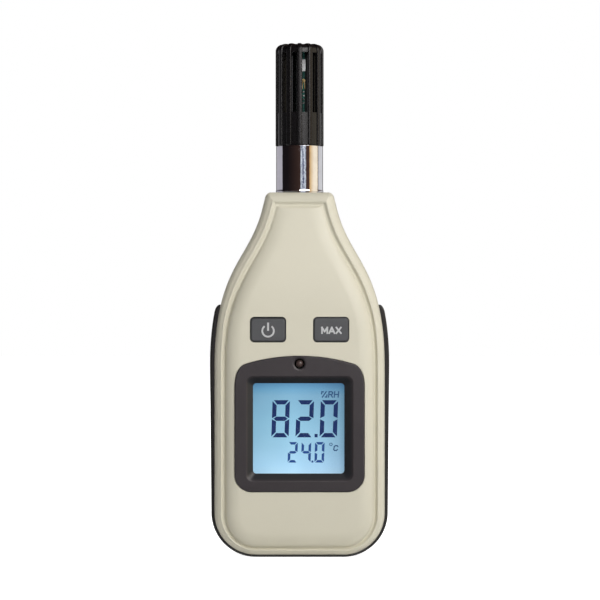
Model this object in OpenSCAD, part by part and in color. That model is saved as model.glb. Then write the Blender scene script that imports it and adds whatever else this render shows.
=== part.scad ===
// Digital thermo-hygrometer: a handheld meter with a slotted probe on top.
// The front faces -Y, up is +Z, and the origin is at the middle of the foot.
// All sizes are in millimetres.

/* [Case] */
// Width of the cream case, without the grip
case_w = 65; // [62:0.5:70]
// Height of the case from the foot to the top of the neck
case_h = 138.2; // [134:0.2:144]
// Depth of the case from the front of the display frame to the back
case_d = 33; // [31:0.1:35]
// Depth of the case at the top of the neck
neck_d = 31; // [30.6:0.2:32.6]
// Radius of the lower corners
corner_r = 16; // [13:0.5:18]
// Height at which the sides start to curve in
shoulder_z = 72.2; // [68:0.2:76]
// How far the shoulder curve follows the straight side
shoulder_pull = 37.5; // [34:0.5:39]
// Width of the neck where its straight taper starts
neck_w = 28.6; // [28:0.2:32]
// Straight part at the top of the neck
neck_straight = 6.3; // [6:0.1:8]
// How far the shoulder curve follows the neck
neck_pull = 20.5; // [18:0.5:22]
// Lean of each side of the neck
neck_lean = 14; // [11:0.5:15]
// Radius of the two top corners of the neck
neck_corner_r = 2.4; // [1.8:0.1:3]
// Wall thickness of both covers
wall = 2.2; // [1.8:0.1:2.4]
// Height above the foot at which the case starts to get thinner
taper_z = 93; // [92:0.5:98]

/* [Front edge] */
// Half depth of the straight side of the case
side_y = 11; // [10.8:0.1:11.6]
// Draft of the straight side
draft = 0.35; // [0.2:0.05:0.5]
// Width of the bevel round the front
bevel_w = 2.05; // [1.6:0.05:2.4]
// Depth of the bevel
bevel_d = 2.3; // [1.9:0.1:2.6]
// Width of the raised bead inside the bevel
bead_w = 1.2; // [1:0.05:1.4]
// Height of the bead
bead_h = 0.45; // [0.3:0.05:0.6]
// Width of the groove inside the bead
groove_w = 0.9; // [0.7:0.05:1.1]
// Depth of the groove below the bevel's edge
groove_d = 0.5; // [0.3:0.05:0.7]
// Width over which the front panel rolls up from the groove
roll_w = 5.9; // [5:0.1:6.2]
// Height of the panel above the groove at the top of the neck
neck_rise = 0.8; // [0.6:0.1:1.2]
// Width of the V groove where the covers meet
seam = 0.15; // [0.1:0.05:0.25]

/* [Grip band] */
// Height of the top ends of the grip
grip_top = 96; // [90:0.5:98]
// Thickness of the grip at the sides
grip_t = 1.4; // [1.2:0.05:1.6]
// Thickness of the grip under the foot
sole_t = 0.7; // [0.6:0.05:0.9]
// Rounding of the grip's edges
grip_round = 0.8; // [0.5:0.1:1]

/* [Display] */
// Height of the frame's lower edge above the foot
frame_z = 25; // [24:0.2:26]
// Width of the frame on each side of the display
frame_band = 6.95; // [6:0.05:7.4]
// Height of the frame below the display
frame_low = 6.8; // [6.2:0.1:7.4]
// Rise of the arch between its shoulders and its crown
frame_arch = 3; // [2.4:0.1:3.4]
// Height over which the frame's upper corners curve in
frame_shoulder = 8.9; // [7:0.1:10]
// Radius of the frame's lower corners
frame_r = 6.4; // [5:0.1:7]
// How far the frame stands proud of the front panel
frame_rise = 0.4; // [0.2:0.05:0.6]
// Thickness of the frame's front plate
frame_t = 1.55; // [1.4:0.05:1.8]
// Depth of the frame's skirt behind its plate
skirt_d = 1.3; // [1.1:0.1:1.5]
// Width of the visible display
view_w = 34.8; // [33:0.2:36]
// Height of the visible display
view_h = 34; // [33:0.2:35]
// Width of the sloped rim round the display
rim_w = 2.7; // [2.2:0.1:2.9]
// Thickness of the clear window
window_t = 1; // [0.8:0.1:1.1]
// Thickness of the display glass
glass_t = 1.8; // [1.6:0.1:2]
// Overlap of the display glass behind the frame, each side
glass_lap = 3.4; // [3.2:0.1:3.6]
// Thickness of the backlight panel
light_t = 2; // [1.8:0.1:2.4]

/* [Keys] */
// Distance of each key from the centre line
key_x = 11.85; // [11.4:0.05:12.2]
// Distance from the crown of the display frame up to the keys
key_up = 5.3; // [4.8:0.1:5.8]
// Width of a key
key_w = 13.15; // [12:0.05:13.6]
// Height of a key
key_h = 9.15; // [8.6:0.05:9.4]
// Corner radius of a key
key_r = 1.4; // [1:0.1:2]
// Gap round a key in the front cover
key_gap = 0.25; // [0.2:0.05:0.4]
// How far a key lies below the panel
key_sunk = 0.15; // [0.05:0.05:0.3]
// Travel of a key
key_travel = 0.8; // [0.6:0.05:0.9]
// Flange of a key behind the front cover
key_flange = 0.9; // [0.7:0.05:1]

/* [Indicator lamp] */
// Diameter of the lamp's dome
lamp_d = 3; // [2.6:0.1:3.2]
// Distance from the display holder up to the lamp
lamp_up = 0.8; // [0.6:0.1:1.2]
// Distance from the lamp's centre up to the crown of the display frame
crown_up = 2.9; // [2.6:0.1:3.2]
// Diameter of the dish round the lamp
dish_d = 4.2; // [4:0.1:4.4]

/* [Probe] */
// Diameter of the chrome tube
tube_d = 17.9; // [17.4:0.05:18]
// Wall thickness of the tube
tube_t = 1.05; // [0.9:0.05:1.15]
// Visible length of the tube above its shoulder
tube_l = 16.7; // [14:0.1:18]
// Height of the shoulder that stands on the neck
ring_h = 0.8; // [0.6:0.1:1]
// How much the tube steps in where it enters the neck
tube_step = 0.35; // [0.3:0.05:0.45]
// Length of the tube inside the neck
tube_in = 15; // [13:0.5:16]
// Diameter of the sensor guard
guard_d = 18.4; // [18.2:0.05:18.6]
// Length of the sensor guard
guard_l = 38.9; // [38:0.1:42]
// Radius of the guard's rounded end
guard_end_r = 2.6; // [2:0.1:3]
// Wall of the guard where it is slotted
guard_t = 1.5; // [1.3:0.05:1.7]
// Number of slots round the guard
slots = 13; // [10:1:15]
// Width of a slot
slot_w = 2.3; // [1.8:0.05:2.5]
// Solid end above the slots
slot_end = 3.5; // [3:0.1:5]
// Plain collar below the slots
slot_from = 12.6; // [12:0.1:13]
// Depth of the flutes that carry the slots on over the collar and the end
flute_d = 0.55; // [0.5:0.05:0.65]
// Radius at which the flutes stop on the end
flute_r = 4; // [3:0.5:6]
// Wall of the guard's collar round the spigot
collar_t = 1.15; // [1:0.05:1.4]
// Length of the spigot that the guard pushes on to
spigot_l = 9; // [8:0.5:10]

/* [Sensor] */
// Width of the sensor board
sensor_w = 5.8; // [5:0.1:6.2]
// Length of the sensor board
sensor_l = 40; // [38:0.5:41]
// Thickness of the sensor board
sensor_t = 1; // [0.8:0.1:1.2]
// Offset of the sensor board from the probe's axis
sensor_x = 1.5; // [0:0.1:1.6]
// Width of the humidity element
element_w = 3.6; // [3:0.1:4]
// Height of the humidity element
element_h = 4.6; // [4:0.1:5]
// Thickness of the humidity element
element_t = 1.2; // [1:0.1:1.4]
// Distance from the end of the guard down to the humidity element's lower edge
element_down = 10.1; // [9:0.1:12]
// Diameter of the temperature bead
bead_d = 1.4; // [1.2:0.1:1.6]

/* [Electronics] */
// Distance from the side of the case to the main board
board_in = 6.1; // [5.6:0.1:6.5]
// Height of the board's lower edge above the foot
board_z = 16.8; // [16.6:0.1:17.4]
// Distance from the middle of the keys up to the board's upper edge
board_up = 17.5; // [15:0.5:18]
// Half width of the board at its upper edge
board_top_x = 19; // [16:0.5:20]
// Thickness of the board
board_t = 1.6; // [1.4:0.1:1.6]
// Side of the microcontroller
chip_w = 10; // [7:0.5:12]
// Diameter of the larger capacitor
cap_d = 5; // [4:0.5:6.3]
// Height of the larger capacitor
cap_h = 7; // [5:0.5:8]

/* [Battery] */
// Width of the battery
battery_w = 26.5; // [25.5:0.1:26.6]
// Depth of the battery
battery_d = 17; // [16.5:0.1:17.4]
// Height of the battery's body
battery_h = 46.4; // [45:0.1:46.6]
// Clearance round the battery
battery_gap = 0.35; // [0.25:0.05:0.45]
// Height of the floor of the battery space above the foot
battery_z = 14.2; // [14:0.1:15]
// Room above the battery for the snap and its leads
snap_room = 11; // [10:0.5:12]
// Wall of the battery space
bay_wall = 1; // [0.9:0.1:1.3]
// Thickness of the battery door
door_t = 1.9; // [1.7:0.1:2]
// Margin of the door round the battery space
door_lap = 2.8; // [2.6:0.1:3]
// Height of the door's lower edge above the foot
door_z = 8.8; // [8.6:0.1:9.2]
// Gap round the door
door_gap = 0.2; // [0.15:0.05:0.3]

/* [Screws] */
// Distance of the lower case screws from the side of the case
low_screw_in = 9; // [8.6:0.1:9.6]
// Height of the lower case screws above the foot
low_screw_z = 10.6; // [10.4:0.1:11]
// Distance of the upper case screws from the centre line
top_screw_x = 12.5; // [12:0.1:13]
// Distance from the board's upper edge to the upper case screws
top_screw_up = 5; // [4.8:0.1:5.8]
// Diameter of a case screw's thread
screw_d = 2.6; // [2.4:0.1:2.8]
// Diameter of a case screw's head
head_d = 4.8; // [4.4:0.1:5]
// Diameter of a screw boss
boss_d = 6.2; // [5.8:0.1:6.4]

/* [Hidden] */

fine = 64;
eps = 0.01;

// Clearances: pieces that only rest on each other, and shafts in holes
fit = 0.05;
run = 0.05;
thread_fit = 0.02;

// Depths, counted from the middle of the case
back_y = case_d / 2;
panel_y = case_d / 2 - frame_rise;
inner_y = panel_y - wall;
groove_end = draft + bevel_w + bead_w + groove_w;
bevel_y = side_y + bevel_d;
groove_y = bevel_y - groove_d;
neck_share = neck_d / case_d;

// How much wider the edge details are at the neck and narrower at the foot
neck_spread = 1.2;
top_spread = 1.28;
foot_spread = 0.74;
top_roll = 0.3;
spread_from = 85;
spread_over = 25;

// Length over which the grip's ends round off, and their least thickness
grip_end = 3.6;
grip_end_t = 0.3;

// Steps round the outline
corner_steps = 9;
side_steps = 3;
shoulder_steps = 8;
neck_steps = 10;
tip_steps = 4;
roll_steps = 7;

// Display stack, from the front plate back to the board
plate_back = back_y - frame_t;
skirt_back = plate_back - skirt_d;
window_y = skirt_back - fit;
glass_y = window_y - window_t - fit;
light_y = glass_y - glass_t - fit;
board_y = light_y - light_t - fit;
board_back = board_y - board_t;
pocket_y = plate_back - fit;
frame_w = view_w + 2 * frame_band;
view_z = frame_z + frame_low + view_h / 2;
skirt_lap = 1.8;
skirt_w = view_w + 2 * (rim_w + skirt_lap);
skirt_h = view_h + 2 * (rim_w + skirt_lap);
skirt_gap = 0.3;
view_r = 0.9;
rim_r = 1.8;
glass_w = view_w + 2 * glass_lap;
glass_h = view_h + 2 * glass_lap;
holder_wall = 1.7;
holder_gap = 0.1;
holder_w = glass_w + 2 * holder_wall;
holder_h = glass_h + 2 * holder_wall;
strip_h = 2;
strip_margin = 0.6;
lamp_z = view_z + holder_h / 2 + lamp_up + lamp_d / 2;
frame_top = lamp_z + crown_up;
light_w = glass_w - 2;
light_h = glass_h - 4 * strip_h;

// Lamp: half the pitch of its two pins, and how far behind the frame's front its collar starts
lamp_pin = 1.27;
lamp_pin_r = 0.25;
lamp_collar = 5.3;
lamp_gap = 0.1;

// Keys: the flange lies behind the panel, and the pill stops at the board
key_z = frame_top + key_up + key_h / 2;
key_front = panel_y - key_sunk;
key_flange_front = inner_y - fit;
pill_t = 0.9;
pill_d = 4;
key_foot = board_y + key_travel + pill_t + fit;
key_wall = 1;
key_post_h = 1.2;
mat_t = 1.1;
mat_gap = 0.4;
mat_margin = 1.3;

// Main board, and what stands on its back
board_x = case_w / 2 - board_in;
board_top = key_z + board_up;
board_cut = 6;
cap_x = 15;
cap_up = 7;
cap_down = 4;
small_cap_d = 4;
small_cap_h = 6;
crystal_r = 1.5;
crystal_h = 8;
regulator_x = 15.2;
regulator_w = 6.4;
regulator_leg = 2.2;

// Probe heights
tube_z = case_h + ring_h;
tube_top = tube_z + tube_l;
tube_r = tube_d / 2;
neck_tube_r = tube_r - tube_step;
bore_r = tube_r - tube_t;
ring_r = tube_r + 0.12;
neck_gap = 0.1;
spigot_t = 2.2;
holder_in = 7;
guard_r = guard_d / 2;
spigot_r = guard_r - collar_t - run;
guard_z = tube_top + fit;
guard_top = guard_z + guard_l;
slot_z = guard_z + slot_from;
slot_top = guard_top - slot_end;
bush_r = neck_tube_r + 1.6;
bush_top = case_h - 4.2;
bush_h = 9;
saddle_w = 1.2;
saddle_t = 1.4;
sensor_top = guard_top - guard_t - 1;
sensor_z = sensor_top - sensor_l;
element_z = guard_top - element_down;
bead_z = element_z - 3.6;
bead_leg = 3.2;

// Battery space
bay_x = battery_w / 2 + battery_gap;
bay_y = back_y - door_t - fit;
battery_y = bay_y - battery_d - fit;
bay_floor = battery_y - fit;
bay_top = battery_z + battery_h + snap_room;
door_x = bay_x + door_lap;
door_top = bay_top + door_lap;
ledge_d = 1.5;
rib = 1.2;
snap_z = battery_z + fit + battery_h;
stud_x = 6.35;
snap_w = 25;
snap_d = 12;
snap_shell = 1.4;
snap_h = 3.6;
stud_h = 2;

// Half width and depth of the slot for the leads in the roof of the battery space
lead_gap = 3.8;

// Door: the finger scoop above it, its grip lines and its lower tabs
scoop_r = 8;
scoop_out = 6.4;
scoop_w = 12;
line_w = 0.9;
line_pitch = 1.8;
line_d = 0.4;
tab_x = 9;
tab_w = 5;
tab_t = 0.95;
tab_in = 1.6;
tab_reach = 1.8;
tab_h = 1.2;
tab_gap = 0.25;

// Case screws: the head seats in the rear cover's boss
seat_y = 5;
head_h = 1.8;
head_gap = 0.3;
shank_gap = 0.2;
screw_tip = 9.4;
low_boss_y = groove_y - 0.15;
top_boss_y = inner_y - 0.35;
cross_w = 0.6;
cross_d = 0.9;

low_screw_x = case_w / 2 - low_screw_in;
top_screw_z = board_top + top_screw_up;

// Board screws and the posts that they hold on to
board_screw_r = 1;
board_head_r = 1.9;
board_head_h = 1.4;
board_screw_l = 4;
board_post_r = 2.4;

function smooth(t) = t <= 0 ? 0 : t >= 1 ? 1 : t * t * (3 - 2 * t);
function mix(a, b, t) = a + (b - a) * t;

// How far up the neck a height z is, and the share of the full depth that the case has there
function neck_at(z) = smooth((z - taper_z) / (case_h - taper_z));
function depth_at(z) = mix(1, neck_share, neck_at(z));

// Inset d as it is at a place where the edge details spread by s
function inset(d, s, roll = 1) =
    d <= 0 ? d : s * min(d, groove_end) + roll * max(d - groove_end, 0);

// Shoulder curve from the straight side to the neck, a cubic in t
lean_u = [-sin(neck_lean), cos(neck_lean)];
curve_a = [case_w / 2, shoulder_z];
curve_b = curve_a + [0, shoulder_pull];
curve_d = [neck_w / 2, case_h - neck_straight];
curve_c = curve_d - neck_pull * lean_u;
function curve(t) =
    pow(1 - t, 3) * curve_a + 3 * pow(1 - t, 2) * t * curve_b
    + 3 * (1 - t) * t * t * curve_c + t * t * t * curve_d;
function curve_dir(t) =
    let (v = 3 * pow(1 - t, 2) * (curve_b - curve_a)
        + 6 * (1 - t) * t * (curve_c - curve_b) + 3 * t * t * (curve_d - curve_c))
    v / norm(v);
function find_t(z, lo = 0, hi = 1, n = 24) =
    let (m = (lo + hi) / 2)
    n == 0 ? m : curve(m)[1] < z ? find_t(z, m, hi, n - 1) : find_t(z, lo, m, n - 1);
grip_t_at = find_t(grip_top);

function curve_point(t, d) =
    let (p = curve(t), u = curve_dir(t),
        s = mix(1, neck_spread, smooth((p[1] - spread_from) / spread_over)))
    p + inset(d, s) * [-u[1], u[0]];

function corner_point(a, d) = [
    case_w / 2 - corner_r + (corner_r - inset(d, 1)) * cos(a),
    sole_t + corner_r + (corner_r - inset(d, foot_spread)) * sin(a)
];

function tip_points(d) =
    let (ds = inset(d, neck_spread), dt = inset(d, top_spread, top_roll),
        r = max(neck_corner_r - ds, 0.5), z = case_h - dt - r,
        n = [-lean_u[1], lean_u[0]], e = curve_d + (ds + r) * n,
        c = [e[0] + lean_u[0] * (z - e[1]) / lean_u[1], z])
    [for (i = [0 : tip_steps]) let (a = mix(neck_lean, 90, i / tip_steps))
        c + r * [cos(a), sin(a)]];

// Right half of the outline at inset d, from the foot up to the grip's end
function lower_half(d) = concat(
    [for (i = [0 : corner_steps]) corner_point(-90 + 90 * i / corner_steps, d)],
    [for (i = [1 : side_steps])
        [case_w / 2 - inset(d, 1), mix(sole_t + corner_r, shoulder_z, i / side_steps)]],
    [for (i = [1 : shoulder_steps]) curve_point(grip_t_at * i / shoulder_steps, d)]
);
function half_outline(d) = concat(
    lower_half(d),
    [for (i = [1 : neck_steps]) curve_point(mix(grip_t_at, 1, i / neck_steps), d)],
    tip_points(d)
);

// A ring of the case: the outline at inset d, laid at depth y, which turns to y_neck up the neck
function ring(d, y, y_neck) =
    let (h = half_outline(d), n = len(h),
        right = [for (p = h) [p[0], mix(y, y_neck, neck_at(p[1])) * depth_at(p[1]), p[1]]])
    concat(right, [for (i = [n - 1 : -1 : 0]) [-right[i][0], right[i][1], right[i][2]]]);

// Closed solid through the rings of a profile, whose entries are an inset, a depth and, where it
// differs, the depth at the neck; it runs towards -Y if front is true
module case_loft(profile, front) {
    side = front ? -1 : 1;
    rings = [for (p = profile) ring(p[0], side * p[1], side * p[len(p) - 1])];
    n = len(rings[0]);
    m = len(rings);
    half = n / 2;
    sides = [for (k = [0 : m - 2], i = [0 : n - 1]) let (j = (i + 1) % n)
        each [[k * n + i, k * n + j, (k + 1) * n + j], [k * n + i, (k + 1) * n + j, (k + 1) * n + i]]];
    first = [for (i = [0 : half - 2]) each
        [[i, n - 1 - i, n - 2 - i], [i, n - 2 - i, i + 1]]];
    last = [for (f = first) [f[2], f[1], f[0]] + (m - 1) * n * [1, 1, 1]];
    all = concat(sides, first, last);
    polyhedron([for (r = rings) each r], front ? [for (f = all) [f[2], f[1], f[0]]] : all);
}

// Side, bevel, bead, groove and panel of the front cover, as inset and depth
front_profile = concat(
    [
        [seam, 0], [0, 2 * seam], [draft, side_y],
        [draft + 0.45 * bevel_w, side_y + 0.68 * bevel_d], [draft + bevel_w, bevel_y],
        [draft + bevel_w + 0.3 * bead_w, bevel_y + bead_h],
        [draft + bevel_w + 0.7 * bead_w, bevel_y + bead_h],
        [draft + bevel_w + bead_w, bevel_y - groove_d / 2],
        [draft + bevel_w + bead_w + 0.4 * groove_w, groove_y]
    ],
    [for (i = [0 : roll_steps]) let (a = 90 * i / roll_steps)
        [groove_end + roll_w * (1 - cos(a)), groove_y + (panel_y - groove_y) * sin(a),
            groove_y + neck_rise * sin(a)]]
);
front_hollow = [
    [draft + wall, -1], [draft + wall, side_y - 0.8],
    [draft + bevel_w + 0.6 * wall, bevel_y - 0.95 * wall],
    [groove_end + 0.45 * roll_w, inner_y - 0.8, groove_y + neck_rise / 2 - wall],
    [groove_end + roll_w, inner_y, groove_y + neck_rise - wall]
];

// Side and rounded edge of the rear cover
rear_round = 5.2;
rear_profile = concat(
    [[seam, 0], [0, 2 * seam]],
    [for (i = [0 : roll_steps]) let (a = 90 * i / roll_steps)
        [draft + rear_round * (1 - cos(a)), side_y + (back_y - side_y) * sin(a)]]
);
rear_hollow = [
    [draft + wall, -1], [draft + wall, side_y - 0.4],
    [draft + wall + 0.3 * rear_round, back_y - wall - 1.6],
    [draft + wall + rear_round, back_y - wall]
];

module slab(y0, y1) {
    translate([0, max(y0, y1), 0]) rotate([90, 0, 0]) linear_extrude(abs(y1 - y0)) children();
}

module block(x, y, z) {
    translate([x[0], y[0], z[0]]) cube([x[1] - x[0], y[1] - y[0], z[1] - z[0]]);
}

module rod_y(r, y0, y1, x, z) {
    translate([x, y0, z]) rotate([-90, 0, 0]) cylinder(r = r, h = y1 - y0, $fn = fine);
}

module rod_z(r, z0, z1) {
    translate([0, 0, z0]) cylinder(r = r, h = z1 - z0, $fn = fine);
}

// Rounded rectangle about its centre, with arcs of six steps
module round_rect(w, h, r) {
    polygon([for (q = [0 : 3], i = [0 : 6]) let (a = 90 * q + 15 * i,
        sx = q == 0 || q == 3 ? 1 : -1, sy = q < 2 ? 1 : -1)
        [sx * (w / 2 - r) + r * cos(a), sy * (h / 2 - r) + r * sin(a)]]);
}

module at_view(x = 0) {
    translate([x, view_z]) children();
}

// Outline of the display frame, grown by g: flat foot, straight sides, arched top
module frame_outline(g) {
    x = frame_w / 2;
    shoulder = 4;
    side_top = frame_top - frame_arch - frame_shoulder;
    arch_z = frame_top - frame_arch;
    arch_x = x - shoulder;
    arch_r = (arch_x * arch_x + frame_arch * frame_arch) / (2 * frame_arch);
    arch_c = frame_top - arch_r;
    arch_a = asin(arch_x / arch_r);
    half = concat(
        [for (i = [0 : 6]) let (a = -90 + 15 * i)
            [x - frame_r + (frame_r + g) * cos(a), frame_z + frame_r + (frame_r + g) * sin(a)]],
        [for (i = [0 : 6]) let (t = i / 6, a = [x + g, side_top], c = [x + g, arch_z - 0.35 * shoulder],
            b = [arch_x, arch_z] + g * [sin(arch_a), cos(arch_a)])
            pow(1 - t, 2) * a + 2 * (1 - t) * t * c + t * t * b],
        [for (i = [1 : 8]) let (a = arch_a * (1 - i / 8))
            [(arch_r + g) * sin(a), arch_c + (arch_r + g) * cos(a)]]
    );
    polygon(concat(half, [for (i = [len(half) - 2 : -1 : 0]) [-half[i][0], half[i][1]]]));
}

module key_place() {
    for (side = [-1, 1]) translate([side * key_x, key_z]) children();
}

module low_screw_places() {
    for (side = [-1, 1]) translate([side * low_screw_x, 0, low_screw_z]) children();
}

module top_screw_places() {
    for (side = [-1, 1]) translate([side * top_screw_x, 0, top_screw_z]) children();
}

module case_screw_places() {
    low_screw_places() children();
    top_screw_places() children();
}

// The two tabs that hold the lower edge of the battery door
module tab_places() {
    for (side = [-1, 1]) translate([side * tab_x, bay_y - tab_in, door_z]) children();
}

// The four board screws stand just outside the display holder
board_screw_places = [
    [holder_w / 2 - 4, board_z + 3.2], [holder_w / 2 + 0.4, view_z + holder_h / 2 + 2.6]
];
module at_board_screws() {
    for (side = [-1, 1], p = board_screw_places) translate([side * p[0], 0, p[1]]) children();
}

// Half of the two ribs that hold the bush, with the web that joins each to its cover
module half_saddle(front) {
    y_web = (front ? groove_y + neck_rise : back_y) * depth_at(bush_top) - wall / 2;
    cut = 2 * (bush_r + saddle_w);
    for (z = [bush_top - bush_h + saddle_t, bush_top - 2 * saddle_t]) translate([0, 0, z])
        difference() {
            union() {
                cylinder(r = bush_r + saddle_w, h = saddle_t, $fn = fine);
                block([-2, 2], front ? [-y_web, -bush_r - saddle_w / 2] : [bush_r + saddle_w / 2, y_web],
                    [0, saddle_t]);
            }
            translate([0, 0, -1]) cylinder(r = bush_r + fit, h = saddle_t + 2, $fn = fine);
            translate([-cut / 2, front ? -fit : fit - cut, -1]) cube([cut, cut, saddle_t + 2]);
        }
}

module front_cover() {
    color([0.83, 0.81, 0.73]) difference() {
        union() {
            difference() {
                case_loft(front_profile, true);
                case_loft(front_hollow, true);
            }
            low_screw_places() rod_y(boss_d / 2, fit - low_boss_y, -fit, 0, 0);
            top_screw_places() rod_y(boss_d / 2, fit - top_boss_y, -fit, 0, 0);
            at_board_screws() rod_y(board_post_r, -inner_y - wall / 4, -board_y - fit, 0, 0);
            half_saddle(true);
        }
        case_screw_places() rod_y(screw_d / 2 + thread_fit, -screw_tip - 2 * fit, 1, 0, 0);
        at_board_screws() rod_y(board_screw_r + thread_fit, -inner_y + wall / 4, 0, 0, 0);
        slab(-panel_y - 1, -pocket_y) frame_outline(0.12);
        slab(-panel_y - 1, 0) at_view()
            square([skirt_w + 2 * skirt_gap, skirt_h + 2 * skirt_gap], center = true);
        slab(-panel_y - 1, -inner_y + 2) key_place()
            round_rect(key_w + 2 * key_gap, key_h + 2 * key_gap, key_r + key_gap);
        rod_y(dish_d / 2 + skirt_gap, -panel_y - 1, -inner_y + 2, 0, lamp_z);
        rod_z(neck_tube_r + neck_gap, bush_top, case_h + 2);
    }
}

module rear_cover() {
    color([0.82, 0.80, 0.72]) difference() {
        union() {
            difference() {
                case_loft(rear_profile, false);
                case_loft(rear_hollow, false);
            }
            case_screw_places() rod_y(head_d / 2 + rib, fit, back_y - wall, 0, 0);
            block([-bay_x - bay_wall, bay_x + bay_wall], [bay_floor - bay_wall, back_y - wall / 4],
                [battery_z - bay_wall, bay_top + bay_wall]);
            block([-door_x - rib, door_x + rib], [bay_y - ledge_d, back_y - wall / 4],
                [battery_z - bay_wall, door_top + rib]);
            half_saddle(false);
        }
        block([-bay_x, bay_x], [bay_floor, back_y + 1], [battery_z, bay_top]);
        block([-door_x - door_gap, door_x + door_gap], [bay_y, back_y + 1],
            [door_z - door_gap, door_top + door_gap]);
        translate([0, back_y + scoop_out, door_top + 3]) rotate([90, 0, 90])
            cylinder(r = scoop_r, h = scoop_w, center = true, $fn = fine);
        block([-lead_gap, lead_gap], [bay_floor - 3, bay_floor + lead_gap], [bay_top - 1, bay_top + 4]);
        tab_places() {
            block([-tab_w / 2 - tab_gap, tab_w / 2 + tab_gap], [-1, tab_t + tab_gap],
                [-tab_reach - tab_gap, tab_gap]);
            block([-tab_w / 2 - tab_gap, tab_w / 2 + tab_gap], [-1, tab_in + fit],
                [-tab_gap, battery_z - bay_wall - door_z]);
        }
        case_screw_places() {
            rod_y(head_d / 2 + head_gap, seat_y, back_y + 1, 0, 0);
            rod_y(screw_d / 2 + shank_gap, -1, seat_y + 1, 0, 0);
        }
        rod_z(neck_tube_r + neck_gap, bush_top, case_h + 2);
    }
}

// Thickness of the grip at a point of the outline: it thins towards the foot and at both ends
function grip_thick(p) =
    let (side = mix(sole_t, grip_t, min((p[1] - sole_t) / shoulder_z, 1)),
        e = min((grip_top - p[1]) / grip_end, 1))
    max(side * sqrt(max(1 - pow(1 - e, 2), 0)), grip_end_t);

// Cross-section of the grip where it is t thick, as inset and depth
function grip_section(t) = let (r = min(grip_round, 0.9 * t)) [
    [draft - fit, -side_y], [r - t, -side_y], [0.3 * r - t, 0.3 * r - side_y], [-t, r - side_y],
    [-t, side_y - r], [0.3 * r - t, side_y - 0.3 * r], [r - t, side_y], [draft - fit, side_y],
    [-fit, 0]
];

module grip_band() {
    base = lower_half(0);
    n = len(base);
    function point(i, s) = let (q = lower_half(s[0])[i]) [q[0], s[1] * depth_at(base[i][1]), q[1]];
    right = [for (i = [0 : n - 1]) [for (s = grip_section(grip_thick(base[i]))) point(i, s)]];
    left = [for (i = [n - 1 : -1 : 0]) [for (p = right[i]) [-p[0], p[1], p[2]]]];
    path = concat(left, right);
    m = len(path[0]);
    k = len(path);
    sides = [for (i = [0 : k - 2], j = [0 : m - 1]) let (q = (j + 1) % m)
        each [[i * m + j, (i + 1) * m + j, (i + 1) * m + q], [i * m + j, (i + 1) * m + q, i * m + q]]];
    ends = concat(
        [for (j = [1 : m - 2]) [0, j, j + 1]],
        [for (j = [1 : m - 2]) (k - 1) * m * [1, 1, 1] + [0, j + 1, j]]
    );
    color([0.13, 0.12, 0.12]) polyhedron([for (r = path) each r], concat(sides, ends));
}

module display_frame() {
    color([0.22, 0.20, 0.21]) difference() {
        union() {
            slab(-back_y, -plate_back) frame_outline(0);
            slab(-plate_back, -skirt_back) at_view() square([skirt_w, skirt_h], center = true);
        }
        hull() {
            slab(-back_y - 0.1, -back_y) at_view()
                round_rect(view_w + 2 * rim_w, view_h + 2 * rim_w, rim_r);
            slab(-skirt_back - 0.9, -skirt_back - 0.8) at_view() round_rect(view_w, view_h, view_r);
        }
        slab(-skirt_back - 1, 0) at_view() round_rect(view_w, view_h, view_r);
        rod_y(lamp_d / 2 + lamp_gap, -back_y - 1, 0, 0, lamp_z);
        translate([0, -back_y - 0.9, lamp_z]) sphere(r = dish_d / 2, $fn = fine);
    }
}

module display_window() {
    color([0.75, 0.85, 0.9, 0.4])
        slab(-window_y, -window_y + window_t) at_view() square([skirt_w, skirt_h], center = true);
}

module display_glass() {
    color([0.56, 0.74, 0.83]) {
        slab(-glass_y, -glass_y + glass_t / 2) at_view()
            square([glass_w, glass_h - 2 * strip_h], center = true);
        slab(-glass_y + glass_t / 2, -light_y - fit) at_view()
            square([glass_w, glass_h], center = true);
    }
}

module strip_places(grow) {
    for (side = [-1, 1]) translate([0, side * (glass_h / 2 - strip_h / 2 - strip_margin)])
        square([light_w - 2 + 2 * grow, strip_h + 2 * grow], center = true);
}

module display_holder() {
    color([0.9, 0.9, 0.88]) difference() {
        slab(-glass_y, -board_y - fit) at_view() square([holder_w, holder_h], center = true);
        slab(-glass_y - 1, -light_y - fit + eps) at_view()
            square([glass_w + 2 * holder_gap, glass_h + 2 * holder_gap], center = true);
        slab(-light_y - fit, 0) at_view()
            square([light_w + 2 * holder_gap, light_h + 2 * holder_gap], center = true);
        slab(-light_y - fit, 0) at_view() strip_places(holder_gap);
    }
}

module backlight_panel() {
    color([0.8, 0.92, 0.97]) slab(-light_y, -board_y - fit) at_view()
        square([light_w, light_h], center = true);
}

module contact_strips() {
    color([0.85, 0.55, 0.6]) slab(-light_y, -board_y - fit) at_view() strip_places(0);
}

module main_board() {
    cut = board_cut;
    color([0.1, 0.4, 0.22]) difference() {
        slab(-board_y, -board_back) polygon([
            [cut - board_x, board_z], [board_x - cut, board_z], [board_x, board_z + cut],
            [board_x, key_z], [board_top_x, board_top], [-board_top_x, board_top],
            [-board_x, key_z], [-board_x, board_z + cut]
        ]);
        at_board_screws() rod_y(board_screw_r + shank_gap, -board_y - 1, 0, 0, 0);
        for (x = [-lamp_pin, lamp_pin]) rod_y(lamp_pin_r + lamp_gap, -board_y - 1, 0, x, lamp_z);
    }
}

module microcontroller() {
    body = chip_w / 2;
    pad = body - 1;
    color([0.1, 0.1, 0.1]) {
        block([-body, body], [-board_back + 0.15, -board_back + 1.5], [key_z - body, key_z + body]);
        block([-pad, pad], [-board_back, -board_back + 0.2], [key_z - pad, key_z + pad]);
    }
}

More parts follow.
